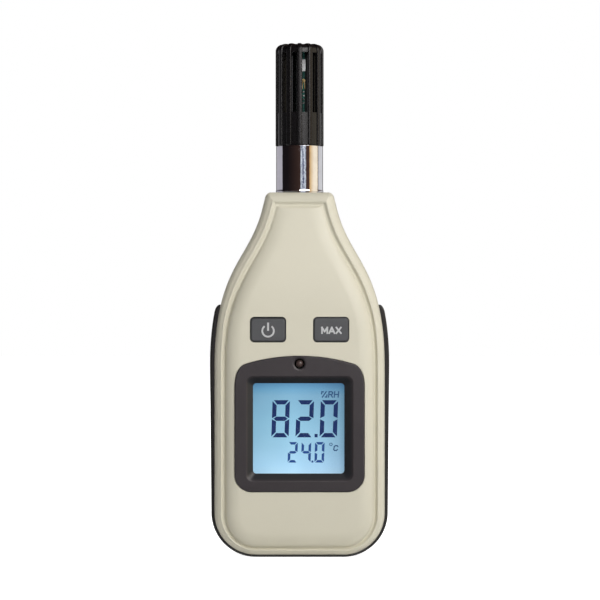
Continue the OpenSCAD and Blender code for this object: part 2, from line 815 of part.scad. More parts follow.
module board_capacitors() {
    color([0.2, 0.25, 0.45]) {
        rod_y(cap_d / 2, -board_back, cap_h - board_back, -cap_x, key_z - cap_down);
        rod_y(small_cap_d / 2, -board_back, small_cap_h - board_back, -cap_x, key_z + cap_up);
    }
}

module quartz_crystal() {
    color([0.75, 0.75, 0.77])
        translate([chip_w / 2 + 2 * crystal_r, crystal_r - board_back, key_z - 2 * crystal_r])
            cylinder(r = crystal_r, h = crystal_h, $fn = fine);
}

module voltage_regulator() {
    w = regulator_w / 2;
    color([0.12, 0.12, 0.12]) translate([regulator_x, -board_back, key_z - 2]) {
        block([-w, w], [0, 1.7], [0, 3.6]);
        for (leg = [-regulator_leg, 0, regulator_leg])
            block([leg - 0.35, leg + 0.35], [0, 0.5], [-1.6, eps]);
    }
}

module keypad_mat() {
    hole = [key_w, key_h] + 2 * (key_flange + mat_gap) * [1, 1];
    color([0.42, 0.42, 0.42]) difference() {
        slab(-board_y - fit - mat_t, -board_y - fit) translate([0, key_z])
            square(hole + [2 * (key_x + mat_margin), 2 * mat_margin], center = true);
        slab(-board_y - 3, 0) key_place() square(hole, center = true);
    }
}

module key_at(x) {
    color([0.33, 0.34, 0.35]) translate([x, 0, 0]) difference() {
        union() {
            slab(-key_front, -key_flange_front + eps) translate([0, key_z])
                round_rect(key_w, key_h, key_r);
            slab(-key_flange_front, -key_foot) translate([0, key_z])
                square([key_w + 2 * key_flange, key_h + 2 * key_flange], center = true);
        }
        slab(-key_foot - key_post_h, 0) translate([0, key_z])
            square([key_w - 2 * key_wall, key_h - 2 * key_wall], center = true);
    }
}
module key_post(x) {
    color([0.33, 0.34, 0.35])
        rod_y(pill_d / 2 + 0.4, -key_foot - key_post_h - eps, -key_foot, x, key_z);
}

module power_key() {
    key_at(-key_x);
    key_post(-key_x);
}

module max_key() {
    key_at(key_x);
    key_post(key_x);
}

module pill_at(x) {
    color([0.08, 0.08, 0.08]) rod_y(pill_d / 2, -key_foot, -key_foot + pill_t, x, key_z);
}

module power_key_pill() {
    pill_at(-key_x);
}

module max_key_pill() {
    pill_at(key_x);
}

module indicator_lamp() {
    base = lamp_collar - back_y;
    dome = lamp_d / 2 + 0.5 - back_y;
    color([0.2, 0.09, 0.07]) {
        translate([0, dome, lamp_z]) sphere(r = lamp_d / 2, $fn = fine);
        rod_y(lamp_d / 2, dome, base, 0, lamp_z);
        rod_y(lamp_d / 2 + 0.35, base - eps, base + 1, 0, lamp_z);
        for (x = [-lamp_pin, lamp_pin]) rod_y(lamp_pin_r, base + 1 - eps, 1 - board_back, x, lamp_z);
    }
}

module battery() {
    x = battery_w / 2;
    corner = 1.6;
    color([0.25, 0.27, 0.3]) translate([0, battery_y + battery_d / 2, battery_z + fit]) {
        difference() {
            block([-x, x], [-battery_d / 2, battery_d / 2], [0, battery_h]);
            for (a = [-1, 1], b = [-1, 1]) translate([a * x, b * battery_d / 2, 0])
                rotate([0, 0, 45]) cube([corner, corner, 3 * battery_h], center = true);
        }
        translate([-stud_x, 0, battery_h]) cylinder(d = 5.7, h = stud_h, $fn = fine);
        translate([stud_x, 0, battery_h]) cylinder(d = 7.6, h = stud_h, $fn = 6);
    }
}

module battery_snap() {
    color([0.12, 0.12, 0.12]) translate([0, battery_y + battery_d / 2, snap_z]) difference() {
        block([-snap_w / 2, snap_w / 2], [-snap_d / 2, snap_d / 2], [fit, snap_h]);
        for (x = [-stud_x, stud_x]) translate([x, 0, -1])
            cylinder(d = 8.8, h = snap_h - snap_shell + 1, $fn = fine);
    }
}

// A route with its corners rounded off n times
function rounded(p, n) = n == 0 ? p : rounded(concat([p[0]],
    [for (i = [0 : len(p) - 2]) each [mix(p[i], p[i + 1], 0.25), mix(p[i], p[i + 1], 0.75)]],
    [p[len(p) - 1]]), n - 1);

// A wire of radius r along a route that never runs along X
module wire(route, r) {
    m = 8;
    n = len(route);
    rings = [for (i = [0 : n - 1])
        let (v = route[min(i + 1, n - 1)] - route[max(i - 1, 0)], u = v / norm(v),
            a = [1, 0, 0] - u[0] * u, b = a / norm(a), c = cross(u, b))
        [for (k = [0 : m - 1]) route[i] + r * (cos(360 * k / m) * b + sin(360 * k / m) * c)]];
    sides = [for (i = [0 : n - 2], k = [0 : m - 1]) let (q = (k + 1) % m)
        each [[i * m + k, (i + 1) * m + k, (i + 1) * m + q], [i * m + k, (i + 1) * m + q, i * m + q]]];
    ends = concat(
        [for (k = [1 : m - 2]) [0, k, k + 1]],
        [for (k = [1 : m - 2]) (n - 1) * m * [1, 1, 1] + [0, k + 1, k]]
    );
    polyhedron([for (g = rings) each g], concat(sides, ends));
}

// A lead from the snap, through the slot in the roof of the battery space, to the board
lead_r = 0.6;
lead_x = 2.4;
lead_pad_x = 7.5;
lead_rise = 2.5;
module lead_wire(side) {
    x = side * lead_x;
    y = battery_y + battery_d / 2 - 5 * lead_r;
    z = snap_z + snap_h;
    slot_y = bay_floor + lead_rise - lead_r;
    pad = bay_top + bay_wall + lead_rise;
    wire(rounded([
        [x, y, z], [x, y, z + lead_rise], [x, slot_y, bay_top - lead_rise], [x, slot_y, pad - lead_r],
        [side * lead_pad_x, 5 * lead_r - board_back, pad], [side * lead_pad_x, -board_back, pad]
    ], 2), lead_r);
}

module red_lead() {
    color([0.75, 0.1, 0.1]) lead_wire(1);
}

module black_lead() {
    color([0.08, 0.08, 0.08]) lead_wire(-1);
}

module battery_door() {
    color([0.82, 0.80, 0.72]) {
        difference() {
            block([-door_x, door_x], [bay_y + fit, back_y], [door_z, door_top]);
            for (i = [0 : 4]) translate([0, 0, door_top - 5 - line_pitch * i])
                block([-7, 7], [back_y - line_d, back_y + 1], [0, line_w]);
        }
        tab_places() {
            block([-tab_w / 2, tab_w / 2], [0, tab_in + fit + eps], [0, tab_h]);
            block([-tab_w / 2, tab_w / 2], [0, tab_t], [-tab_reach, tab_h]);
        }
    }
}

module probe_tube() {
    color([0.75, 0.75, 0.78]) difference() {
        union() {
            rod_z(tube_r, tube_z - eps, tube_top);
            rod_z(ring_r, case_h + fit, tube_z);
            rod_z(neck_tube_r, case_h - tube_in, case_h + fit + eps);
        }
        rod_z(bore_r, case_h - tube_in - 1, tube_top + 1);
    }
}

module probe_bush() {
    color([0.2, 0.2, 0.2]) difference() {
        rod_z(bush_r, bush_top - bush_h, bush_top - fit);
        rod_z(neck_tube_r + run, bush_top - bush_h - 1, bush_top + 1);
    }
}

module sensor_holder() {
    color([0.1, 0.1, 0.1]) difference() {
        union() {
            rod_z(bore_r - fit, tube_top - holder_in, tube_top + fit);
            rod_z(spigot_r, tube_top, tube_top + spigot_l);
        }
        rod_z(spigot_r - spigot_t, tube_top - holder_in - 1, tube_top + spigot_l - 2);
        block([sensor_x - sensor_w / 2 - fit, sensor_x + sensor_w / 2 + fit], [-fit, sensor_t + fit],
            [tube_top, tube_top + spigot_l + 1]);
    }
}

module sensor_board() {
    color([0.05, 0.38, 0.33])
        block([sensor_x - sensor_w / 2, sensor_x + sensor_w / 2], [0, sensor_t], [sensor_z, sensor_top]);
}

module humidity_sensor() {
    color([0.95, 0.95, 0.95])
        block([sensor_x - sensor_w / 2, sensor_x - sensor_w / 2 + element_w], [-element_t, 0],
            [element_z, element_z + element_h]);
}

module temperature_sensor() {
    color([0.8, 0.65, 0.35]) {
        translate([sensor_x, -bead_d / 2, bead_z]) sphere(d = bead_d, $fn = fine);
        for (x = [-0.4, 0.4]) translate([sensor_x + x, -0.2, bead_z - bead_leg])
            cylinder(r = 0.15, h = bead_leg - 0.2, $fn = fine);
    }
}

// The ribbon runs straight down the tube, then slants forward into the plug on the board
plug_z = board_top - 5;
plug_h = 6;
plug_d = 5.4;
cable_w = 4;
cable_t = 0.8;
cable_gap = 0.1;
cable_drop = 4;
cable_y = (plug_d + cable_t) / 2 - board_back;
module sensor_cable() {
    bend = case_h - tube_in - cable_drop;
    color([0.55, 0.55, 0.57]) translate([sensor_x + cable_w / 2, 0, 0]) rotate([0, -90, 0])
        linear_extrude(cable_w) polygon([
            [sensor_z, 0], [sensor_z, cable_t], [bend, cable_t],
            [plug_z + cable_drop, cable_y + cable_t], [plug_z, cable_y + cable_t], [plug_z, cable_y],
            [plug_z + cable_drop - cable_t / 2, cable_y], [bend, 0]
        ]);
}

module sensor_plug() {
    x = cable_w / 2 + cable_gap;
    color([0.92, 0.9, 0.82]) translate([sensor_x, 0, plug_z]) difference() {
        block([-2 * x, 2 * x], [-board_back, plug_d - board_back], [1 - plug_h, 1]);
        block([-x, x], [cable_y - cable_gap, cable_y + cable_t + cable_gap], [-cable_gap, 2]);
    }
}

// The guard's outside, smaller by d all over
module guard_outside(d) {
    end = guard_r - guard_end_r;
    rod_z(guard_r - d, guard_z - 2 * d, guard_top - guard_end_r);
    translate([0, 0, guard_top - guard_end_r]) rotate_extrude($fn = fine) {
        translate([end, 0]) intersection() {
            circle(r = guard_end_r - d, $fn = fine);
            square(guard_end_r + 1);
        }
        square([end, guard_end_r - d]);
    }
}

module guard_slots(x0, z0, z1) {
    for (i = [0 : slots - 1]) rotate([0, 0, 360 * (i + 0.5) / slots - 90])
        block([x0, guard_r + 1], [-slot_w / 2, slot_w / 2], [z0, z1]);
}

module sensor_guard() {
    color([0.1, 0.1, 0.1]) difference() {
        guard_outside(0);
        rod_z(guard_r - collar_t, guard_z - 1, guard_z + spigot_l + 1);
        rod_z(guard_r - guard_t, guard_z + spigot_l, guard_top - guard_t);
        guard_slots(0, slot_z, slot_top);
        difference() {
            guard_slots(flute_r, guard_z - 1, guard_top + 1);
            guard_outside(flute_d);
        }
    }
}

module case_screws() {
    color([0.5, 0.5, 0.52]) case_screw_places() difference() {
        union() {
            rod_y(head_d / 2, seat_y + fit, seat_y + fit + head_h, 0, 0);
            rod_y(screw_d / 2, -screw_tip, seat_y + fit + eps, 0, 0);
        }
        for (a = [0, 90]) rotate([0, a, 0]) block([-1.3, 1.3],
            [seat_y + head_h - cross_d, seat_y + head_h + 1], [-cross_w / 2, cross_w / 2]);
    }
}

module board_screws() {
    color([0.5, 0.5, 0.52]) at_board_screws() {
        rod_y(board_head_r, -board_back + fit, -board_back + board_head_h, 0, 0);
        rod_y(board_screw_r, -board_y - board_screw_l, -board_back + fit + eps, 0, 0);
    }
}

front_cover();
rear_cover();
grip_band();
display_frame();
display_window();
display_glass();
display_holder();
backlight_panel();
contact_strips();
main_board();
microcontroller();
board_capacitors();
quartz_crystal();
voltage_regulator();
keypad_mat();
power_key();
max_key();
power_key_pill();
max_key_pill();
indicator_lamp();
battery();
battery_snap();
red_lead();
black_lead();
battery_door();
probe_tube();
probe_bush();
sensor_holder();
sensor_board();
humidity_sensor();
temperature_sensor();
sensor_cable();
sensor_plug();
sensor_guard();
case_screws();
board_screws();
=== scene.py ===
import math

import bmesh
import bpy
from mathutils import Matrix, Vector


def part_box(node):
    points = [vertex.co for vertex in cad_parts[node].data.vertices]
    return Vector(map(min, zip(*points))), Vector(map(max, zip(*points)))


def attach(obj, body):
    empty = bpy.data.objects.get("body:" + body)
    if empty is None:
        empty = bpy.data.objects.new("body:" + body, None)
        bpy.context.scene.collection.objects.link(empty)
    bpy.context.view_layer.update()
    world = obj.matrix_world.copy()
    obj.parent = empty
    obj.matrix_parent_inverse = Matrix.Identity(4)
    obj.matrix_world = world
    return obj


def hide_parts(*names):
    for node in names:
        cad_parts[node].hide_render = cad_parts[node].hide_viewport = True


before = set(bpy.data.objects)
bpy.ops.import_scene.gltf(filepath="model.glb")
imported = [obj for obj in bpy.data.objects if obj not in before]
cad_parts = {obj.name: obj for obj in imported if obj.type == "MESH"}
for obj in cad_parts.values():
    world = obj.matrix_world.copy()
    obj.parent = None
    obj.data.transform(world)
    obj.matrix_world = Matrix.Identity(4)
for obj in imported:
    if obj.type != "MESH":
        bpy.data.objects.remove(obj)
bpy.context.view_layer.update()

# Camera: square on to the display, and far enough off that the sides of the case stay hidden.
# The height of the view is what it takes in at the middle of the case.
VIEW_FROM = Vector((0.00015, -0.864, 0.0971))
VIEW_HEIGHT = 0.2295
VIEW_REACH = 20


def add_object(name, data):
    """A named object in the scene, made of its data."""
    thing = bpy.data.objects.new(name, data)
    bpy.context.scene.collection.objects.link(thing)
    return thing


camera_data = bpy.data.cameras.new("camera")
camera_data.lens = camera_data.sensor_width * -VIEW_FROM.y / VIEW_HEIGHT
camera_data.clip_end = VIEW_REACH
camera = add_object("camera", camera_data)
camera.location = VIEW_FROM
camera.rotation_euler = (math.radians(90), 0, 0)
bpy.context.scene.camera = camera
bpy.context.scene.view_settings.view_transform = "Standard"

# Front cover: one half of the cream case, moulded in ABS with a fine spark-eroded grain.
# A bevel, a raised bead and a groove run round it, and the flat front rises out of the groove.
# It meets the rear cover in a shallow V, and four screws from behind hold the two together.
MM = 0.001


def box_mm(node):
    low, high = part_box(node)
    return low / MM, high / MM


cover_low, cover_high = box_mm("front_cover")
CASE_X = cover_high.x
CASE_TOP = cover_high.z
FOOT_Z = cover_low.z
PANEL_Y = -cover_low.y
BACK_Y = 16.5
NECK_DEPTH = 31 / 33
TAPER_Z = 93
CORNER_R = 16
SIDE_Y = 11
DRAFT = 0.35
BEVEL_W = 2.05
BEVEL_D = 2.3
BEVEL_PULL = Vector((0.4 * BEVEL_W, 0.86 * BEVEL_D))
BEAD_W = 1.2
BEAD_H = 0.45
GROOVE_W = 0.9
GROOVE_D = 0.5
ROLL_W = 5.9
NECK_RISE = 0.8
WALL = 2.2
SEAM = 0.15
NECK_CORNER_R = 2.4
NECK_HOLE_R = 8.7
NECK_HOLE_Z = (CASE_TOP - 5, CASE_TOP + 2)
BEVEL_Y = SIDE_Y + BEVEL_D
GROOVE_Y = BEVEL_Y - GROOVE_D
INNER_Y = PANEL_Y - WALL
GROOVE_END = DRAFT + BEVEL_W + BEAD_W + GROOVE_W

NECK_TILT = 14
SIDE_END_Z = 72.2
CURVE_PULL = 37.5
NECK_PULL = 20.5
NECK_TOP_X = 14.3
NECK_TOP_DROP = 6.3
LEAN = Vector((-math.sin(math.radians(NECK_TILT)), math.cos(math.radians(NECK_TILT))))
CURVE_A = Vector((CASE_X, SIDE_END_Z))
CURVE_B = CURVE_A + Vector((0, CURVE_PULL))
CURVE_D = Vector((NECK_TOP_X, CASE_TOP - NECK_TOP_DROP))
CURVE_C = CURVE_D - NECK_PULL * LEAN

# The edge is wider at the neck than along the sides, and narrower at the foot.
FOOT_SPREAD = 0.74
NECK_SPREAD = 1.2
SPREAD_FROM_Z = 85
SPREAD_HEIGHT = 25
TOP_SPREAD = 1.28
TOP_ROLL = 0.3


def mix(a, b, t):
    return a + (b - a) * t


def smooth(t):
    t = min(max(t, 0), 1)
    return t * t * (3 - 2 * t)


def arc(turns, steps):
    """Angles from the first of turns to the last, in radians."""
    return [math.radians(mix(turns[0], turns[1], i / steps)) for i in range(steps + 1)]


def inset(d, spread, roll=1):
    """How far in a point lies: d times the spread up to the groove, and times the roll beyond it."""
    return d if d <= 0 else spread * min(d, GROOVE_END) + roll * max(d - GROOVE_END, 0)


def shoulder_point(t, d):
    """Point on the curve from the straight side up to the neck, moved in by d."""
    u = 1 - t
    p = u**3 * CURVE_A + 3 * u * u * t * CURVE_B + 3 * u * t * t * CURVE_C + t**3 * CURVE_D
    v = u * u * (CURVE_B - CURVE_A) + 2 * u * t * (CURVE_C - CURVE_B) + t * t * (CURVE_D - CURVE_C)
    v.normalize()
    spread = mix(1, NECK_SPREAD, smooth((p.y - SPREAD_FROM_Z) / SPREAD_HEIGHT))
    return p + inset(d, spread) * Vector((-v.y, v.x))


def lower_half(d, steps=24, top=1.0):
    """Right half of the outline, from the foot up the side and the share top of the shoulder."""
    points = []
    for a in arc((-90, 0), steps):
        points.append(Vector((CASE_X - CORNER_R + (CORNER_R - inset(d, 1)) * math.cos(a),
                              FOOT_Z + CORNER_R + (CORNER_R - inset(d, FOOT_SPREAD)) * math.sin(a))))
    for i in range(1, 6):
        points.append(Vector((CASE_X - inset(d, 1), mix(FOOT_Z + CORNER_R, CURVE_A.y, i / 5))))
    points += [shoulder_point(top * i / (2 * steps), d) for i in range(1, 2 * steps + 1)]
    return points


def tip(d):
    """Rounded corner at the top of the neck."""
    side, top = inset(d, NECK_SPREAD), inset(d, TOP_SPREAD, TOP_ROLL)
    r = max(NECK_CORNER_R - side, 0.5)
    z = CASE_TOP - top - r
    edge = CURVE_D + (side + r) * Vector((-LEAN.y, LEAN.x))
    centre = Vector((edge.x + LEAN.x * (z - edge.y) / LEAN.y, z))
    return [centre + r * Vector((math.cos(a), math.sin(a))) for a in arc((NECK_TILT, 90), 8)]


def depth_at(y, y_neck, z):
    """The depth y as it is at the height z, where the case gets thinner towards the neck."""
    up = smooth((z - TAPER_Z) / (CASE_TOP - TAPER_Z))
    return mix(y, y_neck, up) * mix(1, NECK_DEPTH, up)


def case_ring(side, d, y, y_neck=None):
    """The outline at inset d and depth y, towards the front if side is -1."""
    y_neck = y if y_neck is None else y_neck
    right = [(p.x, side * depth_at(y, y_neck, p.y), p.y) for p in lower_half(d) + tip(d)]
    return right + [(-x, y, z) for x, y, z in reversed(right)]


def add_piece(name, shape):
    """A finished shape as a piece of the scene, with its faces turned outwards."""
    bmesh.ops.recalc_face_normals(shape, faces=shape.faces)
    mesh = bpy.data.meshes.new(name)
    shape.to_mesh(mesh)
    shape.free()
    return add_object(name, mesh)


def loft(name, rings, ends="flat"):
    """Closed surface through rings of equal length. Its ends are flat, or are joined across from
    right to left, or the last ring meets the first."""
    shape = bmesh.new()
    rows = [[shape.verts.new(Vector(p) * MM) for p in ring] for ring in rings]
    count = len(rows[0])
    for low, high in zip(rows, rows[1:] + (rows[:1] if ends == "joined" else [])):
        for i in range(count):
            j = (i + 1) % count
            shape.faces.new((low[i], low[j], high[j], high[i]))
    if ends == "flat":
        shape.faces.new(rows[0])
        shape.faces.new(rows[-1])
    if ends == "across":
        for row in (rows[0], rows[-1]):
            for i in range(count // 2 - 1):
                shape.faces.new((row[i], row[i + 1], row[-2 - i], row[-1 - i]))
    return add_piece(name, shape)


def settle(piece):
    """Turns what the modifiers make into the piece's own mesh."""
    evaluated = piece.evaluated_get(bpy.context.evaluated_depsgraph_get())
    mesh = bpy.data.meshes.new_from_object(evaluated)
    piece.modifiers.clear()
    piece.data = mesh


def carve(piece, cutters=(), added=()):
    """Adds solids to a piece and cuts others out of it."""
    for operation, others in (("UNION", added), ("DIFFERENCE", cutters)):
        for other in others:
            step = piece.modifiers.new("step", "BOOLEAN")
            step.operation = operation
            step.solver = "EXACT"
            step.object = other
            settle(piece)
            bpy.data.objects.remove(other)
    return piece


def soften(piece, angle=32):
    """Shades the piece smooth, with its edges kept where faces meet at more than the angle."""
    piece.data.shade_smooth()
    piece.data.set_sharp_from_angle(angle=math.radians(angle))
    step = piece.modifiers.new("normals", "WEIGHTED_NORMAL")
    step.keep_sharp = True
    step.weight = 80
    settle(piece)


def stack(name, rows):
    """Closed surface through (depth, outline) pairs, with an outline's points as x and z."""
    return loft(name, [[(x, y, z) for x, z in outline] for y, outline in rows])


def arc_line(r, turns, steps, x=0, z=0):
    return [(x + r * math.cos(a), z + r * math.sin(a)) for a in arc(turns, steps)]


def round_rect(w, h, r, x=0, z=0, steps=6):
    points = []
    for turn, (sx, sz) in zip((0, 90, 180, 270), ((1, 1), (-1, 1), (-1, -1), (1, -1))):
        points += arc_line(r, (turn, turn + 90), steps, x + sx * (w / 2 - r), z + sz * (h / 2 - r))
    return points


def circle(r, x=0, z=0, steps=64):
    return arc_line(r, (0, 360), steps, x, z)[:-1]


def turned(name, rows, x=0, z=0, steps=64):
    """Closed round surface about an axis along Y, through (depth, radius) pairs."""
    return stack(name, [(y, circle(r, x, z, steps)) for y, r in rows])


def block(x, y, z):
    outline = [(x[0], z[0]), (x[1], z[0]), (x[1], z[1]), (x[0], z[1])]
    return stack("block", [(depth, outline) for depth in y])


def rod_y(r, y, x=0, z=0):
    return turned("rod", [(depth, r) for depth in y], x, z)


def rod_z(r, z):
    return loft("rod", [[(x, y, h) for x, y in circle(r)] for h in z])


def bend(start, pull, end, steps):
    """Points of a curve from start to end that is drawn towards pull."""
    shares = [i / steps for i in range(steps + 1)]
    return [(1 - t) ** 2 * start + 2 * (1 - t) * t * pull + t * t * end for t in shares]


def rounded(outline, y, r, way):
    """Rows over the rounded edge of a plate out to the depth y, where way is -1 towards the front."""
    return [(y - way * r * (1 - math.sin(a)), outline(-r * (1 - math.cos(a)))) for a in arc((0, 90), 5)]


def opening(outline, grow, lip, y_end):
    """Cutter for an opening in the flat front, larger by lip just behind the surface; outline takes
    how far it is grown."""
    rows = [(-PANEL_Y - 1, outline(grow + lip))]
    for a in arc((0, 90), 4):
        rows.append((-PANEL_Y + lip * math.sin(a), outline(grow + lip * (1 - math.cos(a)))))
    return stack("opening", rows + [(y_end, outline(grow))])


frame_low, frame_high = box_mm("display_frame")
window_low, window_high = box_mm("display_window")
FRAME_X = frame_high.x
FRAME_BACK_Y = -14.95
FRAME_ARCH = 3
FRAME_ARCH_X = FRAME_X - 4
FRAME_SHOULDER = 8.9
FRAME_PULL = 1.4
FRAME_R = 6.4


def frame_outline(grow, steps=10):
    """Outline of the display frame: flat foot, straight sides and an arched top."""
    arch_z = frame_high.z - FRAME_ARCH
    arch_r = (FRAME_ARCH_X**2 + FRAME_ARCH**2) / (2 * FRAME_ARCH)
    arch_a = math.degrees(math.asin(FRAME_ARCH_X / arch_r))
    lean = math.radians(arch_a)
    half = arc_line(FRAME_R + grow, (-90, 0), steps, FRAME_X - FRAME_R, frame_low.z + FRAME_R)
    half += bend(Vector((FRAME_X + grow, arch_z - FRAME_SHOULDER)),
                 Vector((FRAME_X + grow, arch_z - FRAME_PULL)),
                 Vector((FRAME_ARCH_X + grow * math.sin(lean), arch_z + grow * math.cos(lean))), steps)
    half += arc_line(arch_r + grow, (90 - arch_a, 90), steps, 0, frame_high.z - arch_r)[1:]
    return half + [(-x, z) for x, z in reversed(half[:-1])]


key_low, key_high = box_mm("max_key")
KEY_W = 13.15
KEY_H = 9.15
KEY_R = 1.4
KEY_X = (key_low.x + key_high.x) / 2
KEY_Z = (key_low.z + key_high.z) / 2
KEY_FRONT_Y = key_low.y


def key_outline(side, grow):
    return round_rect(KEY_W + 2 * grow, KEY_H + 2 * grow, max(KEY_R + grow, 0.1), side * KEY_X, KEY_Z)


lamp_low, lamp_high = box_mm("indicator_lamp")
LAMP_Z = (lamp_low.z + lamp_high.z) / 2
LAMP_ROOM_R = 2.4


def front_profile():
    """Inset and depth from the seam round the side, bevel, bead and groove to the flat front."""
    rows = [(SEAM, 0), (0, 2 * SEAM), (DRAFT * 0.5, SIDE_Y / 2), (DRAFT, SIDE_Y)]
    start, end = Vector((DRAFT, SIDE_Y)), Vector((DRAFT + BEVEL_W, BEVEL_Y))
    rows += bend(start, start + BEVEL_PULL, end, 7)[1:]
    for i in range(1, 10):
        t = i / 9
        rows.append((end.x + t * BEAD_W,
                     mix(BEVEL_Y, BEVEL_Y - GROOVE_D / 2, t) + 1.1 * BEAD_H * math.sin(math.pi * t) ** 0.8))
    rows.append((end.x + BEAD_W + 0.25 * GROOVE_W, GROOVE_Y + 0.05))
    rows.append((end.x + BEAD_W + 0.55 * GROOVE_W, GROOVE_Y - 0.04))
    for a in arc((0, 90), 14):
        rows.append((GROOVE_END + ROLL_W * (1 - math.cos(a)),
                     GROOVE_Y + (PANEL_Y - GROOVE_Y) * math.sin(a), GROOVE_Y + NECK_RISE * math.sin(a)))
    return rows


front_hollow = [
    (GROOVE_END + ROLL_W, INNER_Y, GROOVE_Y + NECK_RISE - WALL),
    (GROOVE_END + 0.45 * ROLL_W, INNER_Y - 0.8, GROOVE_Y + NECK_RISE / 2 - WALL),
    (DRAFT + BEVEL_W + 0.6 * WALL, BEVEL_Y - 0.95 * WALL),
    (DRAFT + WALL, SIDE_Y - 0.8), (DRAFT + WALL, 0)
]
front_cover = loft("cover_front", [case_ring(-1, *row) for row in front_hollow + front_profile()],
                   ends="across")
SKIRT_GAP = 0.3
FRAME_GAP = 0.12
FRAME_LIP = 0.1
KEY_GAP = 0.25
KEY_LIP = 0.2
THROUGH_Y = (-PANEL_Y - 1, -INNER_Y + 2)
carve(front_cover, [
    opening(frame_outline, FRAME_GAP, FRAME_LIP, FRAME_BACK_Y + 0.05),
    block((window_low.x - SKIRT_GAP, window_high.x + SKIRT_GAP), (-PANEL_Y - 1, 0),
          (window_low.z - SKIRT_GAP, window_high.z + SKIRT_GAP)),
    *[opening(lambda grow: key_outline(side, grow), KEY_GAP, KEY_LIP, THROUGH_Y[1]) for side in (-1, 1)],
    rod_y(LAMP_ROOM_R, THROUGH_Y, 0, LAMP_Z),
    rod_z(NECK_HOLE_R, NECK_HOLE_Z),
])
soften(front_cover)


def srgb(r, g, b):
    """A colour as it is seen, from 0 to 255, as the renderer counts it."""
    return tuple(((c / 255 + 0.055) / 1.055) ** 2.4 if c > 10 else c / 3294.6 for c in (r, g, b)) + (1,)


NOISE_LOW = 0.3
NOISE_HIGH = 0.7


def feed(tree, socket, value):
    """Sets a socket to a value, or links another socket to it."""
    if isinstance(value, bpy.types.NodeSocket):
        tree.links.new(value, socket)
    else:
        socket.default_value = value


def set_node(tree, node, **values):
    """Sets a node's settings, whose names start small, and feeds its named sockets."""
    for name, value in values.items():
        if name[0].islower():
            setattr(node, name, value)
        else:
            feed(tree, node.inputs[name.replace("_", " ")], value)
    return node


def add_node(tree, kind, **values):
    return set_node(tree, tree.nodes.new(kind), **values)


def reckon(tree, operation, *values):
    """The result of a sum on numbers and sockets."""
    node = add_node(tree, "ShaderNodeMath", operation=operation)
    for socket, value in zip(node.inputs, values):
        feed(tree, socket, value)
    return node.outputs[0]


def noise(tree, place, size, detail=3):
    """Noise whose blotches are about size millimetres across."""
    return add_node(tree, "ShaderNodeTexNoise", Vector=place, Scale=1 / (size * MM),
                    Detail=detail).outputs["Fac"]


def span(tree, value, low, high, to_low=0.0, to_high=1.0):
    """Value from low to high as a number from to_low to to_high."""
    return add_node(tree, "ShaderNodeMapRange", Value=value, From_Min=low, From_Max=high, To_Min=to_low,
                    To_Max=to_high).outputs["Result"]


def along(tree, place, axis, low, high):
    """Share of the way from low to high along an axis, in millimetres."""
    axes = add_node(tree, "ShaderNodeSeparateXYZ", Vector=place).outputs
    return span(tree, axes[axis], low * MM, high * MM)


def ramp(tree, share, stops):
    """Colour that passes through the stops as share grows; each is a place and its colour."""
    node = add_node(tree, "ShaderNodeValToRGB", Fac=share)
    places = node.color_ramp.elements
    while len(places) < len(stops):
        places.new(0.5)
    for element, (position, colour) in zip(places, stops):
        element.position = position
        element.color = colour
    return node.outputs["Color"]


def blend_by(tree, share, first, second, low=NOISE_LOW, high=NOISE_HIGH):
    """Colour that turns from first to second as share goes from low to high."""
    return ramp(tree, share, ((low, first), (high, second)))


def mixed(tree, share, first, second, way="MIX"):
    """Two colours or colour sockets in one, by a share of the second."""
    return add_node(tree, "ShaderNodeMix", data_type="RGBA", blend_type=way, Factor=share, A=first,
                    B=second).outputs["Result"]


def relief_of(tree, height, depth, strength=1):
    """Direction of the surface for a relief of the given depth in millimetres."""
    return add_node(tree, "ShaderNodeBump", Height=height, Distance=depth * MM,
                    Strength=strength).outputs["Normal"]


def scaled(colour, factor):
    return tuple(min(c * factor, 1) for c in colour[:3]) + (1,)


def bare_material(name, gloss=None, **values):
    """A material with its shader's sockets set to the values, and the place on the object. Its gloss
    is the size of the blotches that its roughness varies in, its least and its most."""
    material = bpy.data.materials.new(name)
    material.use_nodes = True
    tree = material.node_tree
    place = add_node(tree, "ShaderNodeTexCoord").outputs["Object"]
    shader = set_node(tree, tree.nodes["Principled BSDF"], **values)
    if gloss:
        size, least, most = gloss
        blotches = noise(tree, place, size)
        set_node(tree, shader, Roughness=span(tree, blotches, NOISE_LOW, NOISE_HIGH, least, most))
    return material, tree, shader, place


def moulded(name, colour, roughness, grain=0.35, relief=0.012, mottle=0.06, blotch=9, metallic=0.0,
            specular=0.5, coat=0.0):
    """A moulded or rolled surface: colour that varies a little in blotches, and a fine raised grain
    that also varies the gloss. Relief is the grain's height in millimetres."""
    material, tree, shader, place = bare_material(name, Metallic=metallic, Specular_IOR_Level=specular,
                                                  Coat_Weight=coat, Coat_Roughness=0.12)
    blotches = noise(tree, place, blotch)
    fine = noise(tree, place, grain, 2)
    set_node(tree, shader,
             Base_Color=blend_by(tree, blotches, scaled(colour, 1 - mottle), scaled(colour, 1 + mottle)),
             Roughness=span(tree, fine, 0.2, 0.8, roughness * 0.88, roughness * 1.12),
             Normal=relief_of(tree, fine, relief, 0.6))
    return material


def dress(piece, material, body, slot, *nodes):
    """Gives a piece its finish and its body, and says which construction nodes it stands for."""
    piece.data.materials.clear()
    piece.data.materials.append(material)
    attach(piece, body)
    if nodes:
        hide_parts(*nodes)


cream_plastic = moulded("cream_plastic", srgb(217, 212, 193), 0.46, grain=0.3, relief=0.014,
                        mottle=0.012, blotch=24, specular=0.4)
dress(front_cover, cream_plastic, "meter", "cream_plastic", "front_cover")

